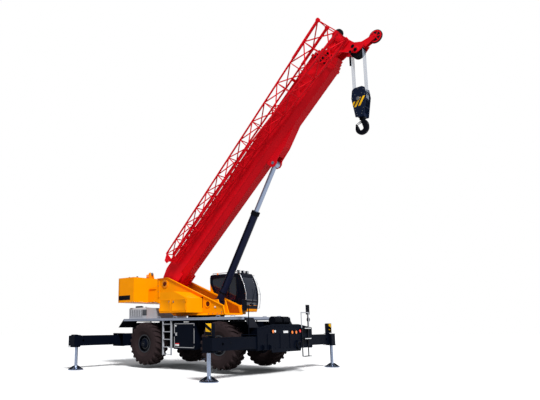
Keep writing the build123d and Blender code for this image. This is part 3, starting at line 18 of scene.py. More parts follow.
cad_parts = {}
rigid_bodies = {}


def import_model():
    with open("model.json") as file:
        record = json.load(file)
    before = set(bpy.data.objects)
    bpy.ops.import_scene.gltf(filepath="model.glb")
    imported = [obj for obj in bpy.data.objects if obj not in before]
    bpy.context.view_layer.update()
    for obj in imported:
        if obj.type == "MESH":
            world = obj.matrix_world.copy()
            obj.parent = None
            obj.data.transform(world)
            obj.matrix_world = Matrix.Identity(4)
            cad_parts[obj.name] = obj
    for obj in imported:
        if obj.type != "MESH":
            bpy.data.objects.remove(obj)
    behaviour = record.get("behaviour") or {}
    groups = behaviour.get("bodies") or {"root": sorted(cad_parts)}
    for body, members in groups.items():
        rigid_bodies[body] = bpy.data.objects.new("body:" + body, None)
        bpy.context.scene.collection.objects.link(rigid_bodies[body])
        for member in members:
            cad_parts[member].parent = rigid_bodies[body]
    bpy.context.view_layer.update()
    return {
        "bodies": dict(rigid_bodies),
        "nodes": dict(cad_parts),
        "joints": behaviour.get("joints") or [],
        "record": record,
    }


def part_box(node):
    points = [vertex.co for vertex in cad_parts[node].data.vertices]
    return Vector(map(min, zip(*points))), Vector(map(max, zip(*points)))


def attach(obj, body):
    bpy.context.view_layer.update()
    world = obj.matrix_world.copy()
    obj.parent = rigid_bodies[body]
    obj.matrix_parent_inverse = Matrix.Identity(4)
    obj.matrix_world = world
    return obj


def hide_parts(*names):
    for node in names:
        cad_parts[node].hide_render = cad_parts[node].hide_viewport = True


LOG = logging.getLogger("crane")

Point = tuple[float, float, float]
Colour = Point
Flat = tuple[float, float]
Outline = tuple[Flat, ...]
Piece = bpy.types.Object
Socket = bpy.types.NodeSocket

BOOM_LUFF = 43.6
BOOM_PIVOT = (-1.9, 3.52)


class Side(IntEnum):
    """The two sides, as the sign of Y."""

    LEFT = 1
    RIGHT = -1


class Corner(Enum):
    """The four corners, each with its name, its end as the sign of X, and its side."""

    FRONT_LEFT = ("front_left", 1, Side.LEFT)
    FRONT_RIGHT = ("front_right", 1, Side.RIGHT)
    REAR_LEFT = ("rear_left", -1, Side.LEFT)
    REAR_RIGHT = ("rear_right", -1, Side.RIGHT)

    def __init__(self, tag: str, end: int, side: Side) -> None:
        """Keeps the three under plain names."""
        self.tag, self.end, self.side = tag, end, side


def swing(degrees: float, axis: str) -> Matrix:
    """Returns a turn about one axis."""
    return Matrix.Rotation(math.radians(degrees), 4, axis)


def spot(place: Point, degrees: float, axis: str) -> Matrix:
    """Returns a turn about one axis, and then a move to a place."""
    return Matrix.Translation(place) @ swing(degrees, axis)


def along_boom(s: float, t: float, y: float) -> Point:
    """Turns a place on the boom into the shared frame.

    Args:
        s: metres from the foot pin along the boom.
        t: metres square to it, upwards.
        y: metres to the left.

    Returns:
        The place in the shared frame.
    """
    luff = math.radians(BOOM_LUFF)
    x = BOOM_PIVOT[0] + s * math.cos(luff) - t * math.sin(luff)
    z = BOOM_PIVOT[1] + s * math.sin(luff) + t * math.cos(luff)
    return (x, y, z)


class Graph:
    """The node tree of one material, with short calls to grow it."""

    def __init__(self, name: str) -> None:
        """Starts an empty tree with its output and its main shader."""
        self.material = bpy.data.materials.new(name)
        self.material.use_nodes = True
        self.tree = self.material.node_tree
        self.tree.nodes.clear()
        output = self.add("ShaderNodeOutputMaterial")
        self.shader = self.add("ShaderNodeBsdfPrincipled")
        self.join(self.shader.outputs[0], output.inputs["Surface"])
        self.place = self.add("ShaderNodeTexCoord").outputs["Object"]

    def add(self, kind: str, **settings: object) -> bpy.types.Node:
        """Adds a node.

        Args:
            kind: Blender's name for its type.
            settings: its properties.

        Returns:
            The node.
        """
        node = self.tree.nodes.new(kind)
        for key, value in settings.items():
            setattr(node, key, value)
        return node

    def join(self, source: Socket, target: Socket) -> None:
        """Joins an output to an input."""
        self.tree.links.new(source, target)

    def dial(self, **values: float) -> None:
        """Sets inputs of the main shader, each named with _ for its spaces."""
        for key, value in values.items():
            self.shader.inputs[key.replace("_", " ")].default_value = value

    def noise(self, scale: float, detail: float = 4.0) -> Socket:
        """Noise on the piece's own coordinates.

        Args:
            scale: waves per metre.
            detail: octaves.

        Returns:
            The noise's value output.
        """
        noise = self.add("ShaderNodeTexNoise")
        noise.inputs["Scale"].default_value = scale
        noise.inputs["Detail"].default_value = detail
        self.join(self.place, noise.inputs["Vector"])
        return noise.outputs[0]

    def spread(self, value: Socket, **ends: float) -> Socket:
        """Stretches a value from one range to another.

        Args:
            value: what is stretched.
            ends: From_Min, From_Max, To_Min and To_Max, where they are not 0 and 1.

        Returns:
            The stretched value.
        """
        node = self.add("ShaderNodeMapRange")
        for key, end in ends.items():
            node.inputs[key.replace("_", " ")].default_value = end
        self.join(value, node.inputs["Value"])
        return node.outputs[0]

    def sum(self, operation: str, first: Socket, second: Socket | float) -> Socket:
        """Does a sum in the tree.

        Args:
            operation: Blender's name for the sum.
            first: its first value.
            second: its second value, as a socket or a number.

        Returns:
            The sum's output.
        """
        node = self.add("ShaderNodeMath", operation=operation)
        self.join(first, node.inputs[0])
        if isinstance(second, float):
            node.inputs[1].default_value = second
        else:
            self.join(second, node.inputs[1])
        return node.outputs[0]

    def mix(self, amount: Socket, first: Colour | Socket, second: Colour | Socket) -> Socket:
        """Mixes two colours.

        Args:
            amount: share of the second colour.
            first: the first colour.
            second: the second colour.

        Returns:
            The mixed colour.
        """
        node = self.add("ShaderNodeMix", data_type="RGBA")
        self.join(amount, node.inputs[0])
        for socket, value in ((node.inputs[6], first), (node.inputs[7], second)):
            if isinstance(value, tuple):
                socket.default_value = (*value, 1.0)
            else:
                self.join(value, socket)
        return node.outputs[2]

    def axes(self) -> Sequence[Socket]:
        """Returns the piece's own X, Y and Z."""
        node = self.add("ShaderNodeSeparateXYZ")
        self.join(self.place, node.inputs[0])
        return node.outputs

    def bump(self, height: Socket, strength: float, distance: float) -> None:
        """Gives the main shader a bump."""
        node = self.add("ShaderNodeBump")
        node.inputs["Strength"].default_value = strength
        node.inputs["Distance"].default_value = distance
        self.join(height, node.inputs["Height"])
        self.join(node.outputs[0], self.shader.inputs["Normal"])


@dataclass(frozen=True)
class Finish:
    """One surface finish.

    Attributes:
        name: plain name.
        slot: the record's material slot.
        colour: main colour.
        roughness: middle roughness.
        metallic: 1 for bare metal.
        coat: clear coat weight.
        drift: how far the colour wanders, as a share.
        grain: waves per metre of the fine bump.
        relief: height of the fine bump in metres.
        dust: colour that settles on it, or None.
        dust_share: how much of the surface the dust takes.
        shine: the shader's specular level.
    """

    name: str
    slot: str
    colour: Colour
    roughness: float = 0.4
    metallic: float = 0.0
    coat: float = 0.0
    drift: float = 0.1
    grain: float = 260.0
    relief: float = 0.0004
    dust: Colour | None = None
    dust_share: float = 0.2
    shine: float = 0.5

    def build(self) -> bpy.types.Material:
        """Builds the node material.

        Returns:
            The new material.
        """
        graph = Graph(self.name)
        shade = tuple(channel * (1 - self.drift) for channel in self.colour)
        glow = tuple(min(1.0, channel * (1 + self.drift)) for channel in self.colour)
        wander = graph.spread(graph.noise(2.2, 5.0), From_Min=0.3, From_Max=0.7)
        colour = graph.mix(wander, shade, glow)
        if self.dust is not None:
            bare = 1.0 - self.dust_share
            cloud = graph.spread(graph.noise(6.0, 8.0), From_Min=bare, From_Max=bare + 0.25)
            colour = graph.mix(cloud, colour, self.dust)
        graph.join(self.shade_by_place(graph, colour), graph.shader.inputs["Base Color"])
        smoothest, roughest = max(0.02, self.roughness - 0.08), min(1.0, self.roughness + 0.1)
        rough = graph.spread(graph.noise(9.0, 6.0), To_Min=smoothest, To_Max=roughest)
        graph.join(rough, graph.shader.inputs["Roughness"])
        graph.dial(Metallic=self.metallic, Coat_Weight=self.coat, Coat_Roughness=0.12, Specular_IOR_Level=self.shine)
        graph.bump(graph.noise(self.grain, 3.0), 0.35, self.relief)
        return graph.material

    def shade_by_place(self, graph: Graph, colour: Socket) -> Socket:
        """Returns the colour, the same all over unless a subclass changes it by place."""
        return colour


@dataclass(frozen=True)
class DeckFinish(Finish):
    """The deck's grey, with its underside and its sloped ends in black."""

    underside: float = 1.925
    front_end: float = 3.085
    rear_end: float = -3.485
    black: Colour = (0.0025, 0.0035, 0.008)

    def shade_by_place(self, graph: Graph, colour: Socket) -> Socket:
        """Blackens what lies below the deck or past its ends.

        Args:
            graph: the material's tree.
            colour: the colour on top.

        Returns:
            The colour to use.
        """
        x, _, z = graph.axes()
        ahead, behind = graph.sum("GREATER_THAN", x, self.front_end), graph.sum("LESS_THAN", x, self.rear_end)
        ends = graph.sum("MAXIMUM", ahead, behind)
        return graph.mix(graph.sum("MAXIMUM", ends, graph.sum("LESS_THAN", z, self.underside)), colour, self.black)


@dataclass(frozen=True)
class StepFinish(Finish):
    """Pale steel, with the front steps in black."""

    front: float = 3.8
    rail_foot: float = 1.625
    black: Colour = (0.0025, 0.0032, 0.006)

    def shade_by_place(self, graph: Graph, colour: Socket) -> Socket:
        """Blackens the steps at the front, below the foot of their rail."""
        x, _, z = graph.axes()
        ahead = graph.sum("GREATER_THAN", x, self.front)
        return graph.mix(graph.sum("MULTIPLY", ahead, graph.sum("LESS_THAN", z, self.rail_foot)), colour, self.black)


RED = Finish("boom red", "boom_red", (0.72, 0.004, 0.012), 0.4, drift=0.06, shine=0.07)
AMBER = Finish("amber yellow", "amber_paint", (0.94, 0.305, 0.0), 0.4, drift=0.05, shine=0.05)
CARRIER_BLACK = Finish(
    "carrier black", "carrier_black", (0.0018, 0.0032, 0.008), 0.4, dust=(0.006, 0.007, 0.01), shine=0.03
)
IRON = Finish("black iron", "black_iron", (0.0025, 0.0032, 0.006), 0.5, grain=180.0, relief=0.001, shine=0.04)
DECK = DeckFinish("deck grey", "deck_grey", (0.27, 0.3, 0.38), 0.62, dust=(0.36, 0.38, 0.42), shine=0.2)
HOOD = Finish("hood grey", "hood_grey", (0.4, 0.4, 0.42), 0.5, shine=0.3)
TRIM = Finish("matt black", "trim_black", (0.0025, 0.003, 0.0055), 0.5, shine=0.04)
LENS = Finish("orange lens", "lamp_orange", (0.92, 0.22, 0.02), 0.15, coat=0.6)
CAB_FRAME = Finish("cab frame black", "cab_paint", (0.0025, 0.0036, 0.009), 0.34, shine=0.08)
SHEAVE = Finish("sheave black", "sheave_black", (0.005, 0.005, 0.008), 0.5, shine=0.12)
CHROME = Finish("hard chrome", "rod_chrome", (0.26, 0.31, 0.42), 0.26, metallic=0.85, drift=0.02, relief=0.0001)
ROPE = Finish("rope steel", "rope_steel", (0.3, 0.34, 0.41), 0.45, metallic=0.3)
NAVY = Finish("block navy", "block_navy", (0.004, 0.009, 0.028), 0.42, shine=0.1)
TYRE = Finish(
    "tyre rubber", "tyre_rubber", (0.024, 0.015, 0.016), 0.82, grain=420.0, relief=0.0012,
    dust=(0.075, 0.05, 0.045), shine=0.1,
)
BARREL = Finish("barrel navy", "trim_black", (0.005, 0.007, 0.024), 0.34, shine=0.09)
STRIP = Finish("edge strip", "hood_grey", (0.3, 0.33, 0.41), 0.45, shine=0.3)
STEPS = StepFinish("step steel", "hood_grey", (0.36, 0.37, 0.4), 0.45, shine=0.3)
# Painted shadow: a dark orange that stands for the boom's shadow on the left side plate's inner face.
BOOM_SHADOW_ORANGE = Finish("painted boom shadow orange", "amber_paint", (0.42, 0.085, 0.0), 0.5, shine=0.08)
RIM_STEEL = Finish("rim fittings", "black_iron", (0.035, 0.038, 0.045), 0.45, metallic=0.4)
BOLT = Finish("plated bolts", "rope_steel", (0.16, 0.17, 0.18), 0.42, metallic=0.7)
STRIPE = Finish("warning yellow", "amber_paint", (0.94, 0.5, 0.0), 0.45, shine=0.3)
PALE = Finish("pale plate", "hood_grey", (0.72, 0.73, 0.74), 0.4, shine=0.4)
SIGNAL_RED = Finish("red lens", "lamp_orange", (0.7, 0.01, 0.008), 0.2, coat=0.4)
ALLOY = Finish("bright alloy", "hood_grey", (0.55, 0.57, 0.6), 0.32, metallic=0.6)
# Painted shade: a dark red that stands for the shade inside the side plates' openings and a recess.
OPENING_SHADE = Finish("painted opening shade", "trim_black", (0.09, 0.01, 0.004), 0.6, shine=0.1)
SLAT = Finish("slat grey", "trim_black", (0.055, 0.058, 0.065), 0.5, shine=0.2)


@dataclass(frozen=True)
class Glass:
    """Tinted cab glass."""

    name: str = "tinted glass"
    slot: str = "cab_glass"
    colour: Colour = (0.004, 0.007, 0.018)

    def build(self) -> bpy.types.Material:
        """Builds dark, glossy glass that lets a little light through."""
        graph = Graph(self.name)
        tint = tuple(channel * 1.6 for channel in self.colour)
        graph.join(graph.mix(graph.noise(1.2), self.colour, tint), graph.shader.inputs["Base Color"])
        graph.dial(Roughness=0.04, Transmission_Weight=0.22, Coat_Weight=0.35)
        graph.bump(graph.noise(3.0), 0.05, 0.001)
        return graph.material


NODE_FINISHES = {"lift_barrel": BARREL, "ladder_and_steps": STEPS}
SLOT_FINISHES = {finish.slot: finish for finish in (
    RED, AMBER, CARRIER_BLACK, IRON, DECK, HOOD, TRIM, LENS, CAB_FRAME, SHEAVE, CHROME, ROPE, NAVY, TYRE, Glass(),
)}


class Paintshop:
    """Keeps one material for each finish and puts it on nodes and pieces."""

    def __init__(self) -> None:
        """Starts with an empty store."""
        self.store: dict[str, bpy.types.Material] = {}

    def dress(self, piece: Piece, finish: Finish | Glass) -> None:
        """Gives a whole piece one finish, built the first time it is used.

        Args:
            piece: the node or the new piece.
            finish: what it gets.
        """
        if finish.name not in self.store:
            self.store[finish.name] = finish.build()
        material = self.store[finish.name]
        if piece.material_slots:
            for held in piece.material_slots:
                held.material = material
        else:
            piece.data.materials.append(material)

    def dress_nodes(self, frame: dict) -> None:
        """Gives every CAD node the finish of its slot, or one of its own.

        Args:
            frame: the loaded frame.
        """
        slots = {entry["node"]: entry["material_slot"] for entry in frame["record"]["subparts"]}
        for name, node in frame["nodes"].items():
            self.dress(node, NODE_FINISHES.get(name, SLOT_FINISHES[slots[name]]))


@dataclass
class Stage:
    """Camera, floor, sky and sun.

    Attributes:
        eye: the camera's place.
        yaw: heading of the view, in degrees from +X towards +Y.
        pitch: upward tilt in degrees.
        roll: roll in degrees.
        focal_pixels: focal length in pixels of the 540-wide frame.
        principal: where the view axis meets the frame, in pixels.
        sun_from: direction that the sun shines from.
        bounce: the floor's grey as a source of bounced light.
        sky_light: strength of the sky for all but the camera.
    """

    eye: Point = (14.339, -16.09, 1.685)
    yaw: float = 132.682
    pitch: float = 10.229
    roll: float = -0.229
    focal_pixels: float = 512.78
    principal: Flat = (197.11, 233.88)
    frame_width: float = 540.0
    frame_height: float = 400.0
    sensor: float = 36.0
    sun_from: Point = (0.62, -0.33, 0.71)
    sun_energy: float = 4.2
    sun_angle: float = 14.0
    bounce: Colour = (0.38, 0.38, 0.38)
    sky_light: float = 0.43

    def camera(self) -> None:
        """Sets the camera at the photograph's viewing angle."""
        yaw, pitch, roll = (math.radians(angle) for angle in (self.yaw, self.pitch, self.roll))
        ahead = Vector((math.cos(pitch) * math.cos(yaw), math.cos(pitch) * math.sin(yaw), math.sin(pitch)))
        level_right = Vector((math.sin(yaw), -math.cos(yaw), 0.0))
        level_up = level_right.cross(ahead)
        right = math.cos(roll) * level_right + math.sin(roll) * level_up
        up = math.cos(roll) * level_up - math.sin(roll) * level_right
        data = bpy.data.cameras.new("camera")
        data.sensor_width = self.sensor
        data.lens = self.focal_pixels / self.frame_width * self.sensor
        data.shift_x = (self.frame_width / 2 - self.principal[0]) / self.frame_width
        data.shift_y = (self.principal[1] - self.frame_height / 2) / self.frame_width
        data.clip_end = 200.0
        eye = bpy.data.objects.new("camera", data)
        eye.matrix_world = Matrix.Translation(self.eye) @ Matrix((right, up, -ahead)).transposed().to_4x4()
        bpy.context.scene.collection.objects.link(eye)
        bpy.context.scene.camera = eye

    def floor(self) -> None:
        """Lays a wide floor, pale to the eye and in reflections and greyer as a source of bounced light."""
        bpy.ops.mesh.primitive_plane_add(size=160.0, location=(0, 0, -0.001))
        floor = bpy.context.active_object
        floor.name = "floor"
        graph = Graph("pale floor")
        path = graph.add("ShaderNodeLightPath").outputs
        seen = graph.sum("MAXIMUM", path["Is Camera Ray"], path["Is Glossy Ray"])
        pale = graph.mix(graph.noise(0.6), (0.9, 0.9, 0.9), (0.93, 0.93, 0.93))
        graph.join(graph.mix(seen, self.bounce, pale), graph.shader.inputs["Base Color"])
        graph.dial(Roughness=0.9, Specular_IOR_Level=0.05)
        floor.data.materials.append(graph.material)

    def sky(self) -> None:
        """Lights the world softly, and white to the camera."""
        world = bpy.data.worlds.new("sky")
        bpy.context.scene.world = world
        world.use_nodes = True
        tree = world.node_tree
        tree.nodes.clear()
        output = tree.nodes.new("ShaderNodeOutputWorld")
        path = tree.nodes.new("ShaderNodeLightPath")
        mix = tree.nodes.new("ShaderNodeMixShader")
        tree.links.new(path.outputs["Is Camera Ray"], mix.inputs[0])
        shades = (((0.93, 0.96, 1.0), self.sky_light), ((1.0, 1.0, 1.0), 1.0))
        for socket, (colour, strength) in enumerate(shades, 1):
            shade = tree.nodes.new("ShaderNodeBackground")
            shade.inputs["Color"].default_value = (*colour, 1.0)
            shade.inputs["Strength"].default_value = strength
            tree.links.new(shade.outputs[0], mix.inputs[socket])
        tree.links.new(mix.outputs[0], output.inputs["Surface"])

    def sun(self) -> None:
        """Adds one broad sun from the front, a little to the right."""
        data = bpy.data.lights.new("sun", "SUN")
        data.energy = self.sun_energy
        data.angle = math.radians(self.sun_angle)
        sun = bpy.data.objects.new("sun", data)
        sun.rotation_euler = Vector(self.sun_from).to_track_quat("Z", "Y").to_euler()
        bpy.context.scene.collection.objects.link(sun)

    def build(self) -> None:
        """Sets the whole stage."""
        self.camera()
        self.floor()
        self.sky()
        self.sun()
        bpy.context.scene.view_settings.view_transform = "Standard"


class Kit:
    """Makes new pieces with Blender's own modelling tools and hangs them on bodies.

    Attributes:
        bevel_angle: edges sharper than this are bevelled, in degrees.
        smooth_angle: edges sharper than this stay sharp in the shading, in degrees.
        weld: corners nearer than this become one.
        crown_inset: width of a bar's crowned rim, as a share of its radius.
    """

    bevel_angle: float = 38.0
    smooth_angle: float = 35.0
    weld: float = 0.0004
    crown_inset: float = 0.25

    def __init__(self, shop: Paintshop) -> None:
        """Starts with nothing open, and with faces as what is selected."""
        self.shop = shop
        self.open: list[Piece] = []
        bpy.context.tool_settings.mesh_select_mode = (False, False, True)

    def settle(self) -> Piece:
        """Puts the newest primitive's place in its mesh and keeps it for the next piece."""
        piece = bpy.context.active_object
        bpy.ops.object.transform_apply(location=True, rotation=True, scale=True)
        self.open.append(piece)
        return piece

    def pick(self, piece: Piece, wanted: Callable[[bpy.types.MeshPolygon], bool]) -> None:
        """Opens a piece for editing with only some faces selected.

        Args:
            piece: the active piece.
            wanted: says which faces are selected.
        """
        mesh = piece.data
        mesh.vertices.foreach_set("select", [False] * len(mesh.vertices))
        mesh.edges.foreach_set("select", [False] * len(mesh.edges))
        for face in mesh.polygons:
            face.select = wanted(face)
        bpy.ops.object.mode_set(mode="EDIT")

    def face_out(self) -> None:
        """Points every face of the piece being edited outwards, and ends the editing."""
        bpy.ops.mesh.select_all(action="SELECT")
        bpy.ops.mesh.normals_make_consistent(inside=False)
        bpy.ops.object.mode_set(mode="OBJECT")

    def soften(self, piece: Piece, width: float, segments: int, angle: float) -> None:
        """Bevels the sharp edges of a piece.

        Args:
            piece: the active piece.
            width: width of the bevel.
            segments: faces across it.
            angle: how sharp an edge has to be, in degrees.
        """
        edge = piece.modifiers.new("edge", "BEVEL")
        edge.width = width
        edge.segments = segments
        edge.limit_method = "ANGLE"
        edge.angle_limit = math.radians(angle)
        bpy.ops.object.modifier_apply(modifier=edge.name)

    def bar(self, start: Point, end: Point, radius: float, sides: int = 12, crown: float = 0.12) -> Piece:
        """A round bar whose ends are inset and crowned.

        Args:
            start: middle of one end.
            end: middle of the other end.
            radius: radius in metres.
            sides: faces around it.
            crown: height of the crowned ends, as a share of the radius.

        Returns:
            The new object.
        """
        first, last = Vector(start), Vector(end)
        span = last - first
        bpy.ops.object.select_all(action="DESELECT")
        bpy.ops.mesh.primitive_cylinder_add(
            vertices=sides, radius=radius, depth=span.length, location=(first + last) / 2,
            rotation=span.to_track_quat("Z", "Y").to_euler(),
        )
        piece = self.settle()
        if crown:
            self.pick(piece, lambda face: len(face.vertices) > 4)
            bpy.ops.mesh.inset(thickness=radius * self.crown_inset, depth=radius * crown)
            bpy.ops.object.mode_set(mode="OBJECT")
        return piece

    def pin(
        self, x: float, z: float, near: float, far: float, radius: float, sides: int = 12, crown: float = 0.12,
    ) -> Piece:
        """A bar across the machine, between two values of Y."""
        return self.bar((x, near, z), (x, far, z), radius, sides, crown)

    def stud(self, place: Matrix, reach: float, low: float, high: float, radius: float, sides: int = 12) -> Piece:
        """A bar along Z, some way out along X, moved by a matrix."""
        return self.bar(place @ Vector((reach, 0, low)), place @ Vector((reach, 0, high)), radius, sides)

    def brick(self, low: Point, high: Point, turn: float = 0.0) -> Piece:
        """A block between two corners, turned about Y through its middle by some degrees."""
        middle = [(a + b) / 2 for a, b in zip(low, high)]
        bpy.ops.object.select_all(action="DESELECT")
        bpy.ops.mesh.primitive_cube_add(size=1.0, location=middle, rotation=(0.0, -math.radians(turn), 0.0))
        bpy.context.active_object.scale = [abs(b - a) for a, b in zip(low, high)]
        return self.settle()

    def border(self, low: Flat, high: Flat, widths: Flat, near: float, far: float) -> None:
        """A frame of four blocks.

        Args:
            low: its lowest X and Z.
            high: its highest X and Z.
            widths: of its upright and of its level blocks.
            near: its Y on one face.
            far: its Y on the other face.
        """
        (x0, z0), (x1, z1), (wide, tall) = low, high, widths
        self.brick((x0, near, z0), (x1, far, z0 + tall))
        self.brick((x0, near, z1 - tall), (x1, far, z1))
        self.brick((x0, near, z0), (x0 + wide, far, z1))
        self.brick((x1 - wide, near, z0), (x1, far, z1))

    def panel(self, low: Point, high: Point, side: Point, frame: float, rise: float) -> Piece:
        """A block with one face inset and raised or sunk.

        Args:
            low: lowest corner.
            high: highest corner.
            side: direction that the worked face looks in.
            frame: width of the border.
            rise: how far the middle stands out; negative sinks it.

        Returns:
            The new object.
        """
        piece = self.brick(low, high)
        way = Vector(side)
        self.pick(piece, lambda face: face.normal.dot(way) > 0.9)
        bpy.ops.mesh.inset(thickness=frame, depth=0.0)
        bpy.ops.mesh.extrude_region_move(TRANSFORM_OT_translate={"value": way * rise})
        bpy.ops.object.mode_set(mode="OBJECT")
        return piece

    def slab(self, corners: Sequence[Point], depth: Point) -> Piece:
        """A plate with a drawn outline.

        Args:
            corners: the outline's corners, all in one plane.
            depth: thickness as a vector.

        Returns:
            The new object.
        """
        bpy.ops.object.select_all(action="DESELECT")
        bpy.ops.mesh.primitive_circle_add(vertices=len(corners), radius=1.0, fill_type="NGON")
        piece = self.settle()
        for vertex, corner in zip(piece.data.vertices, corners):
            vertex.co = corner
        self.pick(piece, lambda face: True)
        bpy.ops.mesh.extrude_region_move(TRANSFORM_OT_translate={"value": Vector(depth)})
        self.face_out()
        return piece

    def sheet(self, outline: Sequence[Flat], y: float, depth: float, at: Flat = (0.0, 0.0)) -> Piece:
        """A plate drawn as x, z corners from a place, at one Y and with a thickness along Y."""
        return self.slab([(at[0] + x, y, at[1] + z) for x, z in outline], (0, depth, 0))

    def turned(self, profile: Sequence[Flat], steps: int, place: Matrix) -> Piece:
        """A ring or disc turned from a closed profile.

        Args:
            profile: corners as radius and height along the axis.
            steps: faces around it.
            place: turns its Z axis into place.

        Returns:
            The new object.
        """
        bpy.ops.object.select_all(action="DESELECT")
        bpy.ops.mesh.primitive_circle_add(vertices=len(profile), radius=1.0, fill_type="NOTHING")
        piece = self.settle()
        for vertex, (radius, height) in zip(piece.data.vertices, profile):
            vertex.co = (radius, 0.0, height)
        bpy.ops.object.mode_set(mode="EDIT")
        bpy.ops.mesh.select_all(action="SELECT")
        bpy.ops.mesh.spin(steps=steps, angle=2 * math.pi, center=(0, 0, 0), axis=(0, 0, 1))
        bpy.ops.mesh.select_all(action="SELECT")
        bpy.ops.mesh.remove_doubles(threshold=self.weld)
        self.face_out()
        piece.data.transform(place)
        return piece

    def again(self, piece: Piece, place: Matrix) -> Piece:
        """A copy with its own mesh, moved by a matrix."""
        twin = piece.copy()
        twin.data = piece.data.copy()
        twin.data.transform(place)
        bpy.context.scene.collection.objects.link(twin)
        self.open.append(twin)
        return twin

    def close(self, name: str, body: str, finish: Finish, edge: float = 0.003, slot: str = "") -> Piece:
        """Joins all that is open into one piece, softens its edges and hangs it on a body.

        Args:
            name: the piece's name.
            body: the body that it rides on.
            finish: its finish.
            edge: width of its softened edges, or 0.
            slot: meant as a material slot other than the finish's own; not used.

        Returns:
            The finished piece.
        """
        bpy.ops.object.select_all(action="DESELECT")
        for piece in self.open:
            piece.select_set(True)
        whole = self.open[0]
        bpy.context.view_layer.objects.active = whole
        if len(self.open) > 1:
            bpy.ops.object.join()
        self.open = []
        if edge:
            self.soften(whole, edge, 2, self.bevel_angle)
        bpy.ops.object.shade_smooth_by_angle(angle=math.radians(self.smooth_angle))
        whole.name = whole.data.name = name
        whole.data.materials.clear()
        self.shop.dress(whole, finish)
        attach(whole, body)
        LOG.info("%s on %s: %d faces", name, body, len(whole.data.polygons))
        return whole


@dataclass
class Tyres:
    """Four earthmover tyres with chevron lugs, and the nuts and rings on their rims.

    Attributes:
        radius: over the lugs.
        centre_z: height of the wheel centres.
        wheel_y: how far out the wheel centres are.
        axle_x: places of the front and the rear axle.
        lug_count: lugs on each side of the tread.
        lug_depth: radius from its root to its top.
        lug_spread: how much wider its root is.
        lug_stations: distance out, sweep, half width and radius along a lug.
        carcass: radius and distance out of the outer half's profile.
    """

    radius: float = 0.874
    centre_z: float = 0.996
    wheel_y: float = 1.345
    axle_x: Flat = (2.015, -2.025)
    lug_count: int = 22
    lug_depth: float = 0.085
    lug_spread: float = 0.012
    lug_stations: tuple[tuple[float, float, float, float], ...] = (
        (0.012, 0.0, 0.04, 0.874), (0.11, 0.06, 0.043, 0.874), (0.215, 0.112, 0.047, 0.871),
        (0.292, 0.14, 0.05, 0.862), (0.326, 0.146, 0.046, 0.795),
    )
    carcass: Outline = (
        (0.3306, 0.236), (0.352, 0.241), (0.392, 0.262), (0.44, 0.29), (0.5, 0.316), (0.512, 0.326), (0.526, 0.324),
        (0.59, 0.335), (0.65, 0.334), (0.7, 0.327), (0.752, 0.313), (0.79, 0.292), (0.806, 0.262), (0.812, 0.15),
    )
    lock_ring: Outline = ((0.33, 0.252), (0.36, 0.253), (0.368, 0.246), (0.368, 0.262), (0.352, 0.268), (0.33, 0.262))
    band: Outline = ((0.196, 0.206), (0.214, 0.206), (0.214, 0.232), (0.196, 0.238))

    def wheel_place(self, corner: Corner) -> Matrix:
        """Returns what turns a wheel drawn about Z, outboard up, into its corner."""
        x = self.axle_x[0] if corner.end > 0 else self.axle_x[1]
        return spot((x, corner.side * self.wheel_y, self.centre_z), -90.0 * corner.side, "X")

    def lug(self, kit: Kit, side: int) -> Piece:
        """Models one slanted lug that bends over the shoulder.

        Args:
            kit: the modelling kit.
            side: which half of the tread.

        Returns:
            The lug, about the Z axis.
        """
        last = len(self.lug_stations) - 1
        bpy.ops.object.select_all(action="DESELECT")
        bpy.ops.mesh.primitive_grid_add(x_subdivisions=last, y_subdivisions=1, size=2.0)
        piece = kit.settle()
        kit.pick(piece, lambda face: True)
        bpy.ops.mesh.extrude_region_move(TRANSFORM_OT_translate={"value": (0.0, 0.0, -1.0)})
        bpy.ops.object.mode_set(mode="OBJECT")
        for vertex in piece.data.vertices:
            across, sweep, half_width, radius = self.lug_stations[round((vertex.co.x + 1) / 2 * last)]
            flank = 1 if vertex.co.y > 0 else -1
            if vertex.co.z < -0.5:
                radius -= self.lug_depth
                half_width += self.lug_spread
                across -= self.lug_spread
            reach = (sweep + flank * half_width) / self.radius
            vertex.co = (radius * math.cos(reach), radius * math.sin(reach), side * across)
        bpy.ops.object.mode_set(mode="EDIT")
        kit.face_out()
        kit.soften(piece, 0.006, 1, 40.0)
        return piece

    def tyre(self, kit: Kit) -> None:
        """Models one tyre about Z: the carcass and its lugs."""
        profile = [*self.carcass, *((radius, -across) for radius, across in reversed(self.carcass))]
        kit.turned(profile, 72, Matrix.Identity(4))
        pitch = math.tau / self.lug_count
        for side in Side:
            first = self.lug(kit, side)
            first.data.transform(Matrix.Rotation(pitch / 2 if side < 0 else 0.0, 4, "Z"))
            for step in range(1, self.lug_count):
                kit.again(first, Matrix.Rotation(step * pitch, 4, "Z"))

    def rim_fittings(self, kit: Kit, place: Matrix) -> None:
        """Models the lock ring, wheel nuts, hub bolts and plugs of one rim.

        Args:
            kit: the modelling kit.
            place: the wheel's place.
        """
        kit.turned(self.lock_ring, 48, place)
        kit.turned(self.band, 40, place)
        for step in range(20):
            turn = place @ swing(18.0 * step, "Z")
            kit.stud(turn, 0.262, 0.135, 0.182, 0.019, 6)
            kit.stud(turn, 0.262, 0.182, 0.2, 0.01, 8)
        for step in range(8):
            kit.stud(place @ swing(45.0 * step + 10.0, "Z"), 0.088, 0.314, 0.325, 0.013, 6)
        kit.stud(place, 0.0, 0.314, 0.329, 0.034, 8)
        kit.stud(place, 0.315, 0.1, 0.215, 0.008, 8)

    def build(self, kit: Kit) -> None:
        """Builds the tyres and the rim fittings."""
        self.tyre(kit)
        pattern = None
        for corner in Corner:
            name, body, place = "earthmover_" + corner.tag, "wheel_" + corner.tag, self.wheel_place(corner)
            if pattern is None:
                piece = kit.close(name, body, TYRE, 0.0)
                pattern = piece.data.copy()
            else:
                piece = bpy.data.objects.new(name, pattern.copy())
                bpy.context.scene.collection.objects.link(piece)
                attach(piece, body)
            piece.data.transform(place)
            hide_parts("tyre_" + corner.tag)
            self.rim_fittings(kit, place)
            kit.close("rim_fittings_" + corner.tag, body, RIM_STEEL, 0.0)


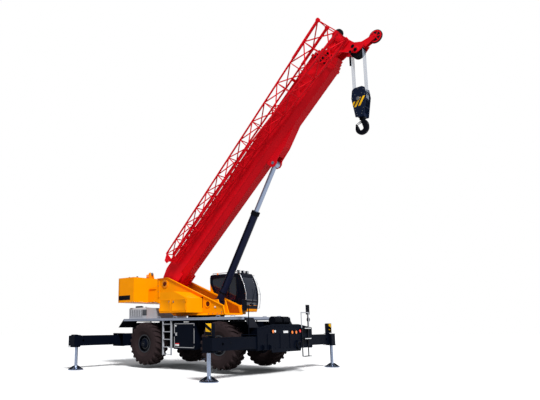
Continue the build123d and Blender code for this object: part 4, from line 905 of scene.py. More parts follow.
@dataclass
class HookTackle:
    """Stripes, bolts, guards and latch of the hook block, drawn from its sheave pin.

    Attributes:
        axis: the sheave pin's X and Z.
        face_y: outer face of the cheeks.
    """

    axis: Flat = (7.2455, 9.35)
    face_y: float = 0.198
    stripes: tuple[Outline, ...] = (
        ((-0.185, -0.265), (-0.105, -0.265), (0.085, 0.045), (0.005, 0.045)),
        ((-0.035, -0.255), (0.045, -0.255), (0.235, 0.055), (0.155, 0.055)),
        ((-0.235, -0.135), (-0.228, -0.185), (-0.205, -0.205), (-0.12, -0.06), (-0.185, -0.06)),
    )
    bolts: Outline = (
        (-0.185, 0.3), (0.0, 0.36), (0.185, 0.3), (-0.12, 0.175), (0.12, 0.175), (-0.215, 0.06), (0.225, 0.12),
        (-0.15, -0.36), (0.15, -0.36), (-0.105, -0.47), (0.105, -0.47), (-0.085, -0.56), (0.085, -0.56),
    )
    rope_guide: Outline = ((-0.075, 0.4), (0.01, 0.4), (-0.01, 0.475), (-0.055, 0.475))
    tongue: Outline = ((-0.225, -0.845), (-0.195, -0.815), (-0.055, -0.75), (-0.05, -0.79))
    catch: Outline = ((-0.222, -0.846), (-0.205, -0.825), (-0.198, -0.83), (-0.215, -0.852))

    def build(self, kit: Kit) -> None:
        """Builds every fitting of the block and the hook."""
        x, z = self.axis
        for side in Side:
            for stripe in self.stripes:
                kit.sheet(stripe, side * self.face_y, side * 0.003, self.axis)
        kit.close("block_stripes", "hook_falls", STRIPE, 0.0008)
        for side in Side:
            for dx, dz in self.bolts:
                kit.pin(x + dx, z + dz, side * (self.face_y - 0.002), side * (self.face_y + 0.016), 0.015, 6)
            kit.pin(x, z, side * 0.235, side * 0.268, 0.062, 20)
        kit.close("block_bolts", "hook_falls", BOLT, 0.0)
        for side in Side:
            for row in range(3):
                kit.pin(x + side * (0.25 - 0.03 * row), z + 0.2 - 0.26 * row, -0.175, 0.175, 0.016)
        kit.brick((x - 0.13, -0.16, z + 0.355), (x + 0.13, 0.16, z + 0.4))
        kit.brick((x - 0.085, -0.175, z - 0.5), (x + 0.085, 0.175, z - 0.46))
        kit.sheet(self.rope_guide, -0.03, 0.06, self.axis)
        kit.close("block_guards", "hook_falls", NAVY, 0.004)
        for side in Side:
            kit.sheet(self.tongue, side * 0.042, side * 0.006, self.axis)
        kit.pin(x - 0.06, z - 0.765, -0.075, 0.075, 0.013)
        kit.sheet(self.catch, -0.048, 0.096, self.axis)
        kit.close("hook_latch", "hook", BOLT, 0.0015, "black_iron")


@dataclass
class BoomFittings:
    """Seams, pads, pins and brackets of the boom and its head, drawn in boom axes.

    Attributes:
        half: half the base section's width.
        head_face: outer face of the head's side plates.
        head_pin: the head pin along and square to the boom.
        guide: the guide sheave's pin.
        rooster: the rooster sheave's pin.
        collar_start: start of the first end collar.
        collar_step: from each collar to the next.
        nest_step: how much narrower, on each side, each section is.
    """

    half: float = 0.42
    head_face: float = 0.202
    head_pin: Flat = (11.9, -0.765)
    guide: Flat = (12.03, 0.43)
    rooster: Flat = (12.6, -0.99)
    beads: tuple[tuple[Flat, Flat], ...] = (
        ((0.95, -0.262), (10.9, -0.262)), ((0.95, 0.505), (10.9, 0.505)),
        ((7.2, -0.25), (7.2, 0.5)), ((3.55, -0.25), (3.55, 0.5)),
    )
    lugs: Outline = ((12.02, -0.18), (11.5, -0.16))
    lug: Outline = ((-0.07, -0.07), (0.05, -0.09), (0.08, 0.0), (0.02, 0.08), (-0.07, 0.06))
    top_edge: Outline = ((11.42, 0.285), (11.88, 0.318), (11.88, 0.3), (11.42, 0.265))
    low_edge: Outline = (
        (11.42, -0.262), (11.58, -0.305), (11.72, -0.62), (11.735, -0.6), (11.6, -0.285), (11.42, -0.242),
    )
    spoke: Outline = ((0.055, 0.017), (0.055, -0.017), (0.18, -0.017), (0.18, 0.017))
    collar_start: float = 10.935
    collar_step: float = 0.111
    nest_step: float = 0.042

    def box(self, kit: Kit, low: Point, high: Point) -> None:
        """A block drawn in boom axes as s, y, t corners."""
        s, y, t = ((a + b) / 2 for a, b in zip(low, high))
        reach = [(middle, abs(b - a) / 2) for middle, a, b in zip(along_boom(s, t, y), low, high)]
        kit.brick([middle - half for middle, half in reach], [middle + half for middle, half in reach], BOOM_LUFF)

    def plate(self, kit: Kit, outline: Sequence[Flat], y: float, depth: float) -> None:
        """A plate drawn as s, t corners at one y."""
        kit.slab([along_boom(s, t, y) for s, t in outline], (0, depth, 0))

    def pin(
        self, kit: Kit, s: float, t: float, near: float, far: float, radius: float, sides: int, crown: float = 0.12,
    ) -> None:
        """A pin across the boom between two values of y."""
        kit.bar(along_boom(s, t, near), along_boom(s, t, far), radius, sides, crown)

    def seams(self, kit: Kit) -> None:
        """Weld beads, side stiffeners and pad covers of the base section."""
        for side in Side:
            y = side * (self.half + 0.001)
            for start, end in self.beads:
                kit.bar(along_boom(*start, y), along_boom(*end, y), 0.006, 8)
            for s in (2.96, 6.36, 9.9):
                self.box(kit, (s - 0.16, side * self.half, -0.02), (s + 0.16, side * (self.half + 0.014), 0.24))
                for ds, t in ((-0.12, 0.02), (-0.12, 0.2), (0.12, 0.02), (0.12, 0.2)):
                    self.pin(kit, s + ds, t, side * (self.half + 0.012), side * (self.half + 0.03), 0.014, 6)
            for s in (1.25, 4.3, 8.2):
                self.box(kit, (s - 0.04, side * self.half, 0.3), (s + 0.04, side * (self.half + 0.035), 0.42))
        for s in (1.6, 3.6, 5.6, 7.6, 9.6):
            self.box(kit, (s - 0.05, -0.3, 0.55), (s + 0.05, 0.3, 0.566))
        kit.close("boom_seams", "boom", RED, 0.002)

    def collars(self, kit: Kit) -> None:
        """Bolted pad covers on the end collar of each section."""
        for index, body in enumerate(("boom", "section_2", "section_3", "section_4")):
            start = self.collar_start + index * self.collar_step
            half = self.half - self.nest_step * index + 0.026
            for side in Side:
                for t in (0.33, 0.06, -0.16):
                    near, far = side * half, side * (half + 0.01)
                    self.box(kit, (start + 0.018, near, t - 0.055), (start + 0.087, far, t + 0.055))
                    for dt in (-0.035, 0.035):
                        self.pin(kit, start + 0.052, t + dt, side * (half + 0.009), side * (half + 0.02), 0.011, 6)
            kit.close("pad_covers_" + body, body, TRIM, 0.002)

    def head(self, kit: Kit) -> None:
        """Stiffeners, lugs and rings of the boom head."""
        for side in Side:
            y = side * self.head_face
            for (s, t), radius in ((self.head_pin, 0.115), (self.guide, 0.06)):
                inner = radius * 0.55
                ring = [(inner, 0.0), (radius, 0.0), (radius, 0.018), (radius * 0.85, 0.024), (inner, 0.024)]
                kit.turned(ring, 28, spot(along_boom(s, t, y if side < 0 else y + 0.024), 90.0, "X"))
            self.plate(kit, self.top_edge, y, side * 0.045)
            self.plate(kit, self.low_edge, y, side * 0.045)
            self.box(kit, (11.82, y, -0.33), (12.06, y + side * 0.06, 0.28))
            self.box(kit, (11.46, y, -0.02), (11.74, y + side * 0.03, 0.16))
            for s, t in self.lugs:
                self.plate(kit, [(s + ds, t + dt) for ds, dt in self.lug], y, side * 0.085)
        kit.close("head_stiffeners", "section_4", RED, 0.003)

    def head_pins(self, kit: Kit) -> None:
        """Pin ends and bolts of the boom head."""
        for side in Side:
            y = side * self.head_face
            self.pin(kit, *self.head_pin, y, y + side * 0.045, 0.06, 20)
            self.pin(kit, *self.guide, y, y + side * 0.035, 0.032, 16)
            self.pin(kit, 11.95, -0.57, y, y + side * 0.008, 0.062, 20, -0.05)
            for s, t in self.lugs:
                self.pin(kit, s, t, y + side * 0.04, y + side * 0.11, 0.03, 14)
            for t in (0.22, -0.28, -0.03):
                for s in (11.86, 12.02):
                    self.pin(kit, s, t, y + side * 0.058, y + side * 0.074, 0.014, 6)
            for s in (11.49, 11.6, 11.71):
                self.pin(kit, s, 0.07, y + side * 0.028, y + side * 0.042, 0.013, 6)
        kit.close("head_pins_and_anchor", "section_4", IRON, 0.002)

    def rooster_wheel(self, kit: Kit) -> None:
        """Red spokes and rim of the rooster sheave."""
        s, t = self.rooster
        for side in Side:
            y = side * 0.0215
            place = spot(along_boom(s, t, y if side < 0 else y + 0.01), 90.0, "X")
            kit.turned([(0.172, 0.0), (0.214, 0.0), (0.214, 0.01), (0.172, 0.01)], 36, place)
            kit.turned([(0.03, 0.0), (0.066, 0.0), (0.066, 0.012), (0.03, 0.012)], 24, place)
            for step in range(6):
                turn = math.radians(60.0 * step + 15.0)
                cos, sin = math.cos(turn), math.sin(turn)
                corners = [(s + out * cos - wide * sin, t + out * sin + wide * cos) for out, wide in self.spoke]
                self.plate(kit, corners, y, side * 0.009)
        kit.close("rooster_spokes", "section_4", RED, 0.0015)

    def limit_weight(self, kit: Kit) -> None:
        """Weight of the hoist limit, which hangs from the head beside the falls."""
        kit.bar((7.06, -0.262, 11.15), (7.06, -0.262, 10.93), 0.011, 8)
        kit.bar((7.06, -0.262, 10.93), (7.06, -0.262, 10.62), 0.034, 14, 0.3)
        kit.brick((7.03, -0.275, 11.12), (7.09, -0.19, 11.19))
        kit.close("limit_weight", "section_4", TRIM, 0.003)

    def build(self, kit: Kit) -> None:
        """Builds every fitting of the boom."""
        self.seams(kit)
        self.collars(kit)
        self.head(kit)
        self.head_pins(kit)
        self.rooster_wheel(kit)
        self.limit_weight(kit)


@dataclass
class CabFittings:
    """Paint, mouldings, rails, lamps, wiper and controls of the operator's cab.

    Attributes:
        inner_y: its side towards the boom.
        outer_y: its door side.
        roof_z: top of the roof.
        lamps_y: places of the roof lamps.
        paint: thickness and outline of each painted field on the inner side.
        frames: thickness and outline of each black moulding there.
        bow: the front pillars' line.
        rail: the front rails' line.
    """

    inner_y: float = 0.61
    outer_y: float = 1.48
    roof_z: float = 3.86
    lamps_y: Point = (0.76, 1.05, 1.33)
    paint: tuple[tuple[float, Outline], ...] = (
        (0.012, ((-0.296, 2.625), (-0.296, 3.52), (-0.255, 3.46), (0.06, 2.86), (0.06, 2.3), (0.04, 2.29))),
        (0.01, ((0.06, 2.3), (0.06, 2.64), (1.1, 2.64), (1.1, 2.3))),
        (0.01, ((1.1, 2.285), (1.1, 2.53), (1.538, 2.53), (1.498, 2.285))),
    )
    frames: tuple[tuple[float, Outline], ...] = (
        (0.02, ((-0.298, 3.74), (-0.298, 3.52), (0.075, 2.79), (0.14, 2.815), (-0.215, 3.56), (-0.215, 3.74))),
        (0.02, ((0.075, 2.79), (0.2, 2.7), (0.42, 2.655), (1.12, 2.655), (1.12, 2.735), (0.45, 2.735),
                 (0.24, 2.775), (0.14, 2.83))),
        (0.018, ((-0.25, 3.7), (-0.23, 3.8), (1.23, 3.8), (1.18, 3.715))),
        (0.022, ((1.085, 2.7), (1.175, 2.7), (1.24, 3.15), (1.195, 3.72), (1.11, 3.72), (1.15, 3.15))),
        (0.008, ((0.7, 2.73), (0.725, 2.73), (0.725, 3.715), (0.7, 3.715))),
    )
    bow: Outline = ((1.3, 3.8), (1.47, 3.43), (1.588, 3.0), (1.56, 2.64), (1.536, 2.48))
    rail: Outline = ((1.335, 3.8), (1.52, 3.42), (1.64, 3.0), (1.618, 2.64), (1.575, 2.42))
    front_skirt: Outline = ((1.497, 2.276), (1.516, 2.276), (1.566, 2.53), (1.546, 2.53))
    front_bar: Outline = ((1.552, 2.64), (1.584, 2.64), (1.592, 2.72), (1.56, 2.72))
    wheel_rim: Outline = (
        (0.182, -0.012), (0.192, -0.016), (0.202, -0.012), (0.206, 0.0),
        (0.202, 0.012), (0.192, 0.016), (0.182, 0.012), (0.178, 0.0),
    )

    def paintwork(self, kit: Kit) -> None:
        """Painted rear quarter, lower band and front skirt."""
        for depth, outline in self.paint:
            kit.sheet(outline, self.inner_y + 0.001, -depth)
        kit.sheet(self.front_skirt, 0.625, 0.84)
        kit.close("cab_paintwork", "superstructure", AMBER)

    def mouldings(self, kit: Kit) -> None:
        """Black frames about the windows, the pillars, the mirror, the wiper and the lamps' backs."""
        for depth, outline in self.frames:
            kit.sheet(outline, self.inner_y + 0.001, -depth)
        for y in (0.625, 1.415):
            kit.sheet([*self.bow, *((x + 0.028, z) for x, z in reversed(self.bow))], y, 0.05)
        kit.sheet(self.front_bar, 0.64, 0.8)
        kit.brick((1.56, 0.485, 2.33), (1.68, 0.585, 2.66))
        kit.bar((1.54, 0.62, 2.56), (1.62, 0.54, 2.56), 0.016)
        kit.bar((1.58, 1.06, 2.56), (1.628, 1.25, 3.25), 0.009, 8)
        kit.brick((1.575, 1.02, 2.52), (1.625, 1.1, 2.585))
        for y in self.lamps_y:
            kit.brick((1.1, y - 0.06, self.roof_z + 0.03), (1.19, y + 0.06, self.roof_z + 0.13))
            kit.bar((1.12, y, self.roof_z - 0.01), (1.12, y, self.roof_z + 0.04), 0.014, 8)
        kit.close("cab_mouldings", "superstructure", CAB_FRAME, 0.004)

    def bright_parts(self, kit: Kit) -> None:
        """Roof plate, roof rails, grab rails and lamp glasses."""
        top = self.roof_z + 0.062
        kit.panel((-0.22, 0.66, self.roof_z - 0.002), (0.43, 1.43, self.roof_z + 0.02), (0, 0, 1), 0.05, 0.008)
        for y in (0.665, 1.425):
            kit.bar((-0.2, y, top), (1.18, y, top), 0.013)
            for x in (-0.18, 0.27, 0.72, 1.15):
                kit.bar((x, y, self.roof_z - 0.004), (x, y, top), 0.01, 8)
        for y, reach, inwards in ((self.inner_y - 0.025, 0.01, 0.03), (self.outer_y + 0.012, 0.06, -0.03)):
            rail = [(x + reach, y, z) for x, z in self.rail]
            for start, end in zip(rail, rail[1:]):
                kit.bar(start, end, 0.013)
            for x, _, z in (rail[0], rail[2], rail[-1]):
                kit.bar((x, y, z), (x - 0.075 - reach, y + inwards, z), 0.01, 8)
        for y in self.lamps_y:
            kit.bar((1.188, y, self.roof_z + 0.08), (1.2, y, self.roof_z + 0.08), 0.042, 16)
        kit.close("cab_bright_parts", "superstructure", ALLOY, 0.002)
        kit.bar((0.1, 0.64, self.roof_z - 0.01), (0.1, 0.64, self.roof_z + 0.055), 0.034, 14, 0.4)
        kit.close("cab_marker_lamp", "superstructure", LENS)

    def controls(self, kit: Kit) -> None:
        """Steering wheel, levers, head rest and seat pad."""
        hub = (0.985, 1.045, 3.06)
        lean = spot(hub, -28.0, "Y")
        kit.turned(self.wheel_rim, 36, lean)
        for step in range(3):
            spoke = lean @ swing(120.0 * step, "Z")
            kit.bar(spoke @ Vector((0.0, 0, 0)), spoke @ Vector((0.185, 0, 0)), 0.01, 8)
        kit.bar(hub, (1.2, 1.045, 2.78), 0.024)
        for x, y in ((0.55, 0.74), (0.47, 0.74), (0.55, 1.345)):
            kit.bar((x, y, 2.93), (x + 0.02, y, 3.11), 0.01, 8)
            kit.bar((x + 0.02, y, 3.1), (x + 0.022, y, 3.16), 0.024, 12, 0.4)
        kit.brick((0.08, 0.9, 3.42), (0.17, 1.19, 3.6))
        kit.panel((0.19, 0.86, 2.815), (0.59, 1.23, 2.85), (0, 0, 1), 0.05, 0.012)
        kit.close("cab_controls", "superstructure", TRIM, 0.008)

    def door(self, kit: Kit) -> None:
        """Handle, sill moulding and window frame on the door."""
        y = self.outer_y + 0.003
        kit.border((-0.11, 2.74), (0.83, 3.68), (0.03, 0.035), y, y + 0.012)
        kit.panel((-0.05, y, 2.38), (0.76, y + 0.01, 2.68), (0, 1, 0), 0.04, -0.005)
        kit.bar((0.7, y + 0.045, 2.76), (0.7, y + 0.045, 3.06), 0.012)
        for z in (2.775, 3.045):
            kit.pin(0.7, z, y, y + 0.045, 0.01, 8)
        kit.close("door_fittings", "cab_door", CAB_FRAME)

    def build(self, kit: Kit) -> None:
        """Builds every fitting of the cab."""
        self.paintwork(kit)
        self.mouldings(kit)
        self.bright_parts(kit)
        self.controls(kit)
        self.door(kit)


@dataclass
class UpperworksFittings:
    """Flanges, bolts, ropes, plates and lamps of the turning upper works.

    Attributes:
        plate_y: outer face of the side plates.
        door_y: face of the toolbox doors.
        doors: each toolbox door's body, its ends along X and its latch.
        drums: each winch's body, its axis along X and Z, and its radius.
        rings: each ring's X, Z, inner and outer radius, and height.
        roller_at: the guide roller's X and Z.
    """

    plate_y: float = 0.545
    door_y: float = -1.5045
    doors: tuple[tuple[str, float, float, float], ...] = (
        ("toolbox_door_rear", -1.2, -0.6, -0.66), ("toolbox_door_front", -0.52, 0.24, -0.43),
    )
    drums: tuple[tuple[str, float, float, float], ...] = (
        ("main_winch", -2.69, 3.13, 0.19), ("aux_winch", -2.16, 2.95, 0.15),
    )
    rings: tuple[tuple[float, float, float, float, float], ...] = (
        (0.58, 2.57, 0.105, 0.15, 0.018), (*BOOM_PIVOT, 0.1, 0.178, 0.024), (0.7, 2.65, 0.0, 0.052, 0.012),
    )
    roller_at: Flat = (-3.425, 4.085)
    roller: Outline = (
        (0.02, -0.07), (0.078, -0.07), (0.078, -0.056), (0.056, -0.036),
        (0.056, 0.036), (0.078, 0.056), (0.078, 0.07), (0.02, 0.07),
    )
    top: Outline = (
        (-1.72, 3.782), (1.378, 2.502), (1.372, 2.478), (-1.725, 3.757), (-2.378, 3.757), (-2.384, 3.782),
    )
    nose: Outline = ((1.38, 2.49), (1.4, 2.49), (1.478, 2.15), (1.458, 2.15))
    # Outline of a sheet of painted shadow from the boom, laid on the left side plate's inner face.
    skin: Outline = ((-1.5, 3.64), (1.29, 2.48), (1.38, 2.18), (-1.2, 2.18))
    bracket: Outline = ((-3.6, 3.838), (-3.28, 3.838), (-3.36, 4.13), (-3.42, 4.16), (-3.5, 4.13))
    lone_bolts: Outline = ((-2.34, 3.2), (-2.34, 3.45), (-2.34, 3.68), (0.17, 2.36), (1.005, 2.4), (1.3, 2.25))
    eye: Outline = ((0.035, -0.014), (0.062, -0.014), (0.062, 0.014), (0.035, 0.014))

    def flanges(self, kit: Kit) -> None:
        """Flanges, ribs and rings of the side plates, and painted shade: dark discs in the ring openings and a dark
        sheet over a recess.
        """
        for side in Side:
            y = side * self.plate_y
            kit.sheet(self.top, y - side * 0.005, side * 0.058)
            kit.sheet(self.nose, y - side * 0.02, side * 0.06)
            kit.brick((-1.3, y, 2.135), (1.44, y + side * 0.055, 2.155))
            for x, z, inner, outer, rise in self.rings:
                top = rise + 0.006
                profile = [(inner, -0.004), (outer, -0.004), (outer, rise), (outer - 0.008, top), (inner, top)]
                kit.turned(profile, 32, spot((x, y, z), -90.0 * side, "X"))
            kit.brick((-2.3, y, 2.95), (-2.26, y + side * 0.04, 3.7))
            kit.brick((-2.9, y, 3.33), (-2.46, y + side * 0.04, 3.355))
        kit.close("side_plate_flanges", "superstructure", AMBER)
        # Painted shade: dark red discs fill the ring openings and the boom pivot's bore, and a dark red sheet on the
        # right plate marks a recess beside the toolbox.
        for side in Side:
            y = side * self.plate_y
            kit.pin(0.58, 2.57, y - side * 0.004, y + side * 0.003, 0.104, 28, 0.0)
            if side == Side.RIGHT:
                kit.brick((-0.06, y, 2.42), (0.315, y + side * 0.004, 2.86))
            kit.pin(*BOOM_PIVOT, y, y + side * 0.052, 0.092, 24)
        kit.close("side_plate_painted_shade", "superstructure", OPENING_SHADE, 0.001)

    def bolts(self, kit: Kit) -> None:
        """Bolts, lifting eyes, a dark orange sheet of painted shadow from the boom on the left side plate's inner
        face, and the reflectors.
        """
        for side in Side:
            y = side * self.plate_y
            for step in range(12):
                kit.pin(-1.18 + 0.225 * step, 2.185, y, y + side * 0.018, 0.016, 6)
            for step in range(8):
                turn = math.radians(45.0 * step + 22.5)
                x, z = BOOM_PIVOT[0] + 0.14 * math.cos(turn), BOOM_PIVOT[1] + 0.14 * math.sin(turn)
                kit.pin(x, z, y + side * 0.024, y + side * 0.044, 0.016, 6)
            for x, z in self.lone_bolts:
                kit.pin(x, z, y, y + side * 0.014, 0.02, 6)
        for x in (-3.85, -3.3):
            for y in (-0.95, 0.95):
                kit.turned(self.eye, 20, spot((x, y, 3.862), 90.0, "X"))
        kit.close("upperworks_bolts", "superstructure", BOLT, 0.0)
        # Painted shadow: a dark orange sheet on the left side plate's inner face, where the boom's shadow falls.
        kit.sheet(self.skin, 0.5035, 0.0025)
        kit.close("inner_plate_painted_shadow", "superstructure", BOOM_SHADOW_ORANGE, 0.0)
        kit.pin(0.155, 2.395, -0.546, -0.56, 0.03, 14)
        kit.pin(0.955, 2.44, -0.546, -0.56, 0.034, 14)
        kit.close("side_reflectors", "superstructure", PALE, 0.002)

    def toolbox(self, kit: Kit) -> None:
        """Recessed skins and latches of the two toolbox doors."""
        face = self.door_y
        for body, low, high, latch in self.doors:
            kit.panel((low, face - 0.004, 2.29), (high, face + 0.001, 2.76), (0, -1, 0), 0.022, -0.0025)
            kit.close(body + "_skin", body, AMBER, 0.001)
            kit.panel((latch - 0.03, face - 0.01, 2.62), (latch + 0.03, face, 2.7), (0, -1, 0), 0.01, -0.004)
            kit.pin(latch, 2.66, face - 0.004, face - 0.02, 0.013)
            kit.close(body + "_latch", body, BOLT, 0.002)

    def ropes(self, kit: Kit) -> None:
        """Rope laid on both drums, and the guide roller behind them."""
        turns = [math.radians(60.0 * corner) for corner in range(6)]
        for body, x, z, radius in self.drums:
            for row in range(26):
                lay, across = radius + 0.008, -0.375 + 0.03 * row
                profile = [(lay + 0.0135 * math.cos(turn), across + 0.0135 * math.sin(turn)) for turn in turns]
                kit.turned(profile, 28, spot((x, 0, z), 90.0, "X"))
            kit.close(body + "_rope", body, ROPE, 0.0)
        for side in Side:
            kit.sheet(self.bracket, side * 0.075, side * 0.014)
        x, z = self.roller_at
        kit.pin(x, z, -0.1, 0.1, 0.018)
        kit.close("rope_roller_bracket", "superstructure", AMBER)
        kit.turned(self.roller, 28, spot((x, 0, z), 90.0, "X"))
        kit.close("rope_roller", "superstructure", BOLT, 0.0)

    def counterweight(self, kit: Kit) -> None:
        """Blank plates, joint line, tail lamps and beacon of the counterweight."""
        kit.panel((-4.02, -1.407, 2.85), (-3.24, -1.3995, 3.05), (0, -1, 0), 0.015, -0.002)
        kit.brick((-3.985, -1.4015, 2.76), (-3.977, -1.399, 3.83))
        kit.panel((-4.206, -0.45, 2.92), (-4.199, 0.45, 3.18), (-1, 0, 0), 0.02, -0.002)
        kit.bar((-3.12, -0.5, 3.838), (-3.12, -0.5, 3.87), 0.06, 20)
        for y in (-1.05, 1.05):
            kit.panel((-4.216, y - 0.16, 2.86), (-4.199, y + 0.16, 2.96), (-1, 0, 0), 0.012, -0.004)
        kit.close("counterweight_plates", "superstructure", TRIM, 0.0015)
        kit.bar((-3.12, -0.5, 3.868), (-3.12, -0.5, 3.985), 0.05, 20, 0.5)
        for y in (-1.05, 1.05):
            kit.brick((-4.218, y - 0.135, 2.88), (-4.205, y + 0.135, 2.94))
        kit.close("beacon_and_tail_lamps", "superstructure", LENS)

    def build(self, kit: Kit) -> None:
        """Builds every fitting of the upper works."""
        self.flanges(kit)
        self.bolts(kit)
        self.toolbox(kit)
        self.ropes(kit)
        self.counterweight(kit)


@dataclass
class CarrierFittings:
    """Trims, straps, lamp bezels, tow gear, slats and grips of the carrier.

    Attributes:
        front_x: its front face.
        rear_x: its rear face.
        edge_y: the deck's edge.
        door_y: face of the cabinet door.
        lamps: each front lamp's Y, Z and radius.
        tow: the tow ring's Y and Z.
    """

    front_x: float = 3.886
    rear_x: float = -3.87
    edge_y: float = 1.54
    door_y: float = -1.4945
    lamps: tuple[Point, ...] = (
        (-0.9, 1.5, 0.055), (-0.78, 1.5, 0.045), (0.33, 1.46, 0.055), (0.6, 1.46, 0.055), (0.86, 1.5, 0.055),
    )
    bezel: Outline = ((0.002, 0.0), (0.016, 0.0), (0.014, 0.03), (0.002, 0.034))
    tow: Flat = (0.735, 1.005)
    tow_ring: Outline = ((0.105, -0.022), (0.15, -0.022), (0.156, 0.0), (0.15, 0.022), (0.105, 0.022))
    step: Outline = ((0.0, 0.86), (0.09, 0.9), (0.09, 1.02), (0.0, 1.06))

    def grip(self, kit: Kit, low: Point, rise: float, reach: float, radii: Flat, sides: int = 12) -> None:
        """Two posts and the bar that joins them.

        Args:
            kit: the modelling kit.
            low: middle between the posts' feet.
            rise: height of the posts.
            reach: half the distance between them.
            radii: of the posts and of the bar.
            sides: faces around the bar.
        """
        x, y, z = low
        for post in (x - reach, x + reach):
            kit.bar((post, y, z), (post, y, z + rise), radii[0], 8)
        kit.bar((x - reach, y, z + rise), (x + reach, y, z + rise), radii[1], sides)

    def bolt_row(self, kit: Kit, x: float, way: int, places: Sequence[Flat]) -> None:
        """Bolts that stand out of an end face at the given Y and Z."""
        for y, z in places:
            kit.bar((x - way * 0.001, y, z), (x + way * 0.014, y, z), 0.016, 6)

    def mirror_heads(self, kit: Kit) -> None:
        """Housings round the mirror glasses."""
        kit.brick((3.215, -1.735, 2.21), (3.262, -1.515, 2.61))
        kit.brick((3.745, 1.61, 2.12), (3.792, 1.835, 2.5))
        kit.close("mirror_heads", "carrier", CAB_FRAME, 0.012, "trim_black")

    def cabinet(self, kit: Kit) -> None:
        """Border trims, handle, blank plates and reflector of the cabinet door."""
        face = self.door_y
        kit.border((-0.375, 0.87), (0.713, 1.8), (0.023, 0.023), face - 0.008, face + 0.001)
        kit.panel((-0.3, face - 0.012, 1.33), (-0.22, face, 1.45), (0, -1, 0), 0.012, -0.006)
        kit.close("cabinet_door_trims", "cabinet_door", HOOD, 0.002)
        kit.brick((-0.33, face - 0.004, 0.93), (-0.11, face, 1.0))
        kit.brick((-0.32, face - 0.004, 1.68), (-0.255, face, 1.745))
        kit.close("cabinet_door_plates", "cabinet_door", PALE, 0.001)
        kit.brick((-0.33, face - 0.004, 1.003), (-0.11, face, 1.04))
        kit.close("cabinet_door_reflector", "cabinet_door", SIGNAL_RED, 0.001)

    def deck(self, kit: Kit) -> None:
        """Bright edge strips, tie loops and hatches of the deck."""
        for side in Side:
            y = side * self.edge_y
            kit.brick((-3.47, y - side * 0.001, 1.996), (3.07, y + side * 0.008, 2.016))
            for x in (-1.3, -0.35, 1.9, 2.6):
                self.grip(kit, (x, y - side * 0.06, 2.018), 0.057, 0.09, (0.01, 0.012))
        kit.close("deck_edge_strips", "carrier", STRIP, 0.002)
        for side in Side:
            y = side * 1.02
            for x in (1.3, 2.1):
                kit.panel((x, y - 0.3, 2.018), (x + 0.66, y + 0.3, 2.028), (0, 0, 1), 0.03, 0.006)
        kit.close("deck_hatches", "carrier", DECK, 0.002)

    def tank(self, kit: Kit) -> None:
        """Straps, filler and sight glass of the left tank."""
        (x0, _, z0), (x1, y, z1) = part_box("left_tank")
        for share in (0.2, 0.8):
            x = x0 + share * (x1 - x0)
            kit.brick((x - 0.035, y - 0.4, z0 - 0.006), (x + 0.035, y + 0.006, z0 + 0.002))
            kit.brick((x - 0.035, y - 0.002, z0 - 0.006), (x + 0.035, y + 0.006, z1 - 0.02))
        middle = (x0 + x1) / 2
        kit.pin(middle, z1 - 0.16, y - 0.01, y + 0.055, 0.075, 24)
        kit.panel((middle + 0.2, y - 0.001, z0 + 0.1), (middle + 0.26, y + 0.01, z0 + 0.6), (0, 1, 0), 0.012, -0.004)
        kit.close("tank_straps", "carrier", BOLT)

    def front(self, kit: Kit) -> None:
        """Bezels, lamps, tow ring, ribs, steps and bolts of the front face."""
        x, (tow_y, tow_z) = self.front_x, self.tow
        for y, z, radius in self.lamps:
            bezel = [(radius + out, rise) for out, rise in self.bezel]
            kit.turned(bezel, 24, spot((x, y, z), 90.0, "Y"))
        kit.turned(self.tow_ring, 32, spot((x + 0.055, tow_y, tow_z), 90.0, "Y"))
        for z in (tow_z + 0.125, tow_z - 0.125):
            kit.brick((x - 0.002, tow_y - 0.07, z - 0.03), (x + 0.05, tow_y + 0.07, z + 0.03))
        for y in (-1.2, -0.42, 0.2, 1.0):
            kit.brick((x - 0.002, y - 0.01, 0.9), (x + 0.016, y + 0.01, 1.42))
        across = [-1.68 + 0.24 * step for step in range(15)]
        self.bolt_row(kit, x, 1, [(y, z) for y in across for z in (0.925, 1.6 if abs(y) > 1.2 else 1.66)])
        for y in (-1.5, -1.1):
            kit.sheet(self.step, y, 0.028, (x, 0.0))
        kit.close("front_fittings", "carrier", CARRIER_BLACK)
        kit.bar((x, -0.78, 1.5), (x + 0.047, -0.78, 1.5), 0.0455, 20)
        for z in (1.588, 1.208):
            kit.brick((x + 0.152, 1.02, z), (x + 0.158, 1.46, z + 0.024))
        kit.panel((x - 0.001, -0.2, 1.44), (x + 0.006, 0.1, 1.52), (1, 0, 0), 0.01, -0.002)
        kit.close("front_white_parts", "carrier", PALE, 0.0015)
        kit.bar((x, 0.86, 1.5), (x + 0.047, 0.86, 1.5), 0.0555, 20)
        kit.close("front_red_lamp", "carrier", SIGNAL_RED, 0.002)

    def rear(self, kit: Kit) -> None:
        """Lamp boxes, tow jaw, ribs, bolts and lamps of the rear face."""
        x = self.rear_x
        for side in Side:
            y = side * 1.25
            kit.panel((x - 0.03, y - 0.2, 1.05), (x + 0.001, y + 0.2, 1.23), (-1, 0, 0), 0.015, -0.006)
            kit.brick((x - 0.012, side * 0.6 - 0.012, 0.9), (x + 0.001, side * 0.6 + 0.012, 1.38))
        for z in (1.02, 1.18):
            kit.brick((x - 0.13, -0.12, z), (x + 0.001, 0.12, z + 0.04))
        kit.bar((x - 0.08, 0.0, 0.96), (x - 0.08, 0.0, 1.3), 0.028)
        self.bolt_row(kit, x, -1, [(-1.62 + 0.27 * step, z) for step in range(13) for z in (0.915, 1.365)])
        kit.close("rear_fittings", "carrier", CARRIER_BLACK)
        for side in Side:
            for offset in (-0.11, 0.11):
                y = side * 1.25 + offset
                kit.brick((x - 0.034, y - 0.075, 1.085), (x - 0.022, y + 0.075, 1.195))
        kit.close("tail_lamps", "carrier", SIGNAL_RED)

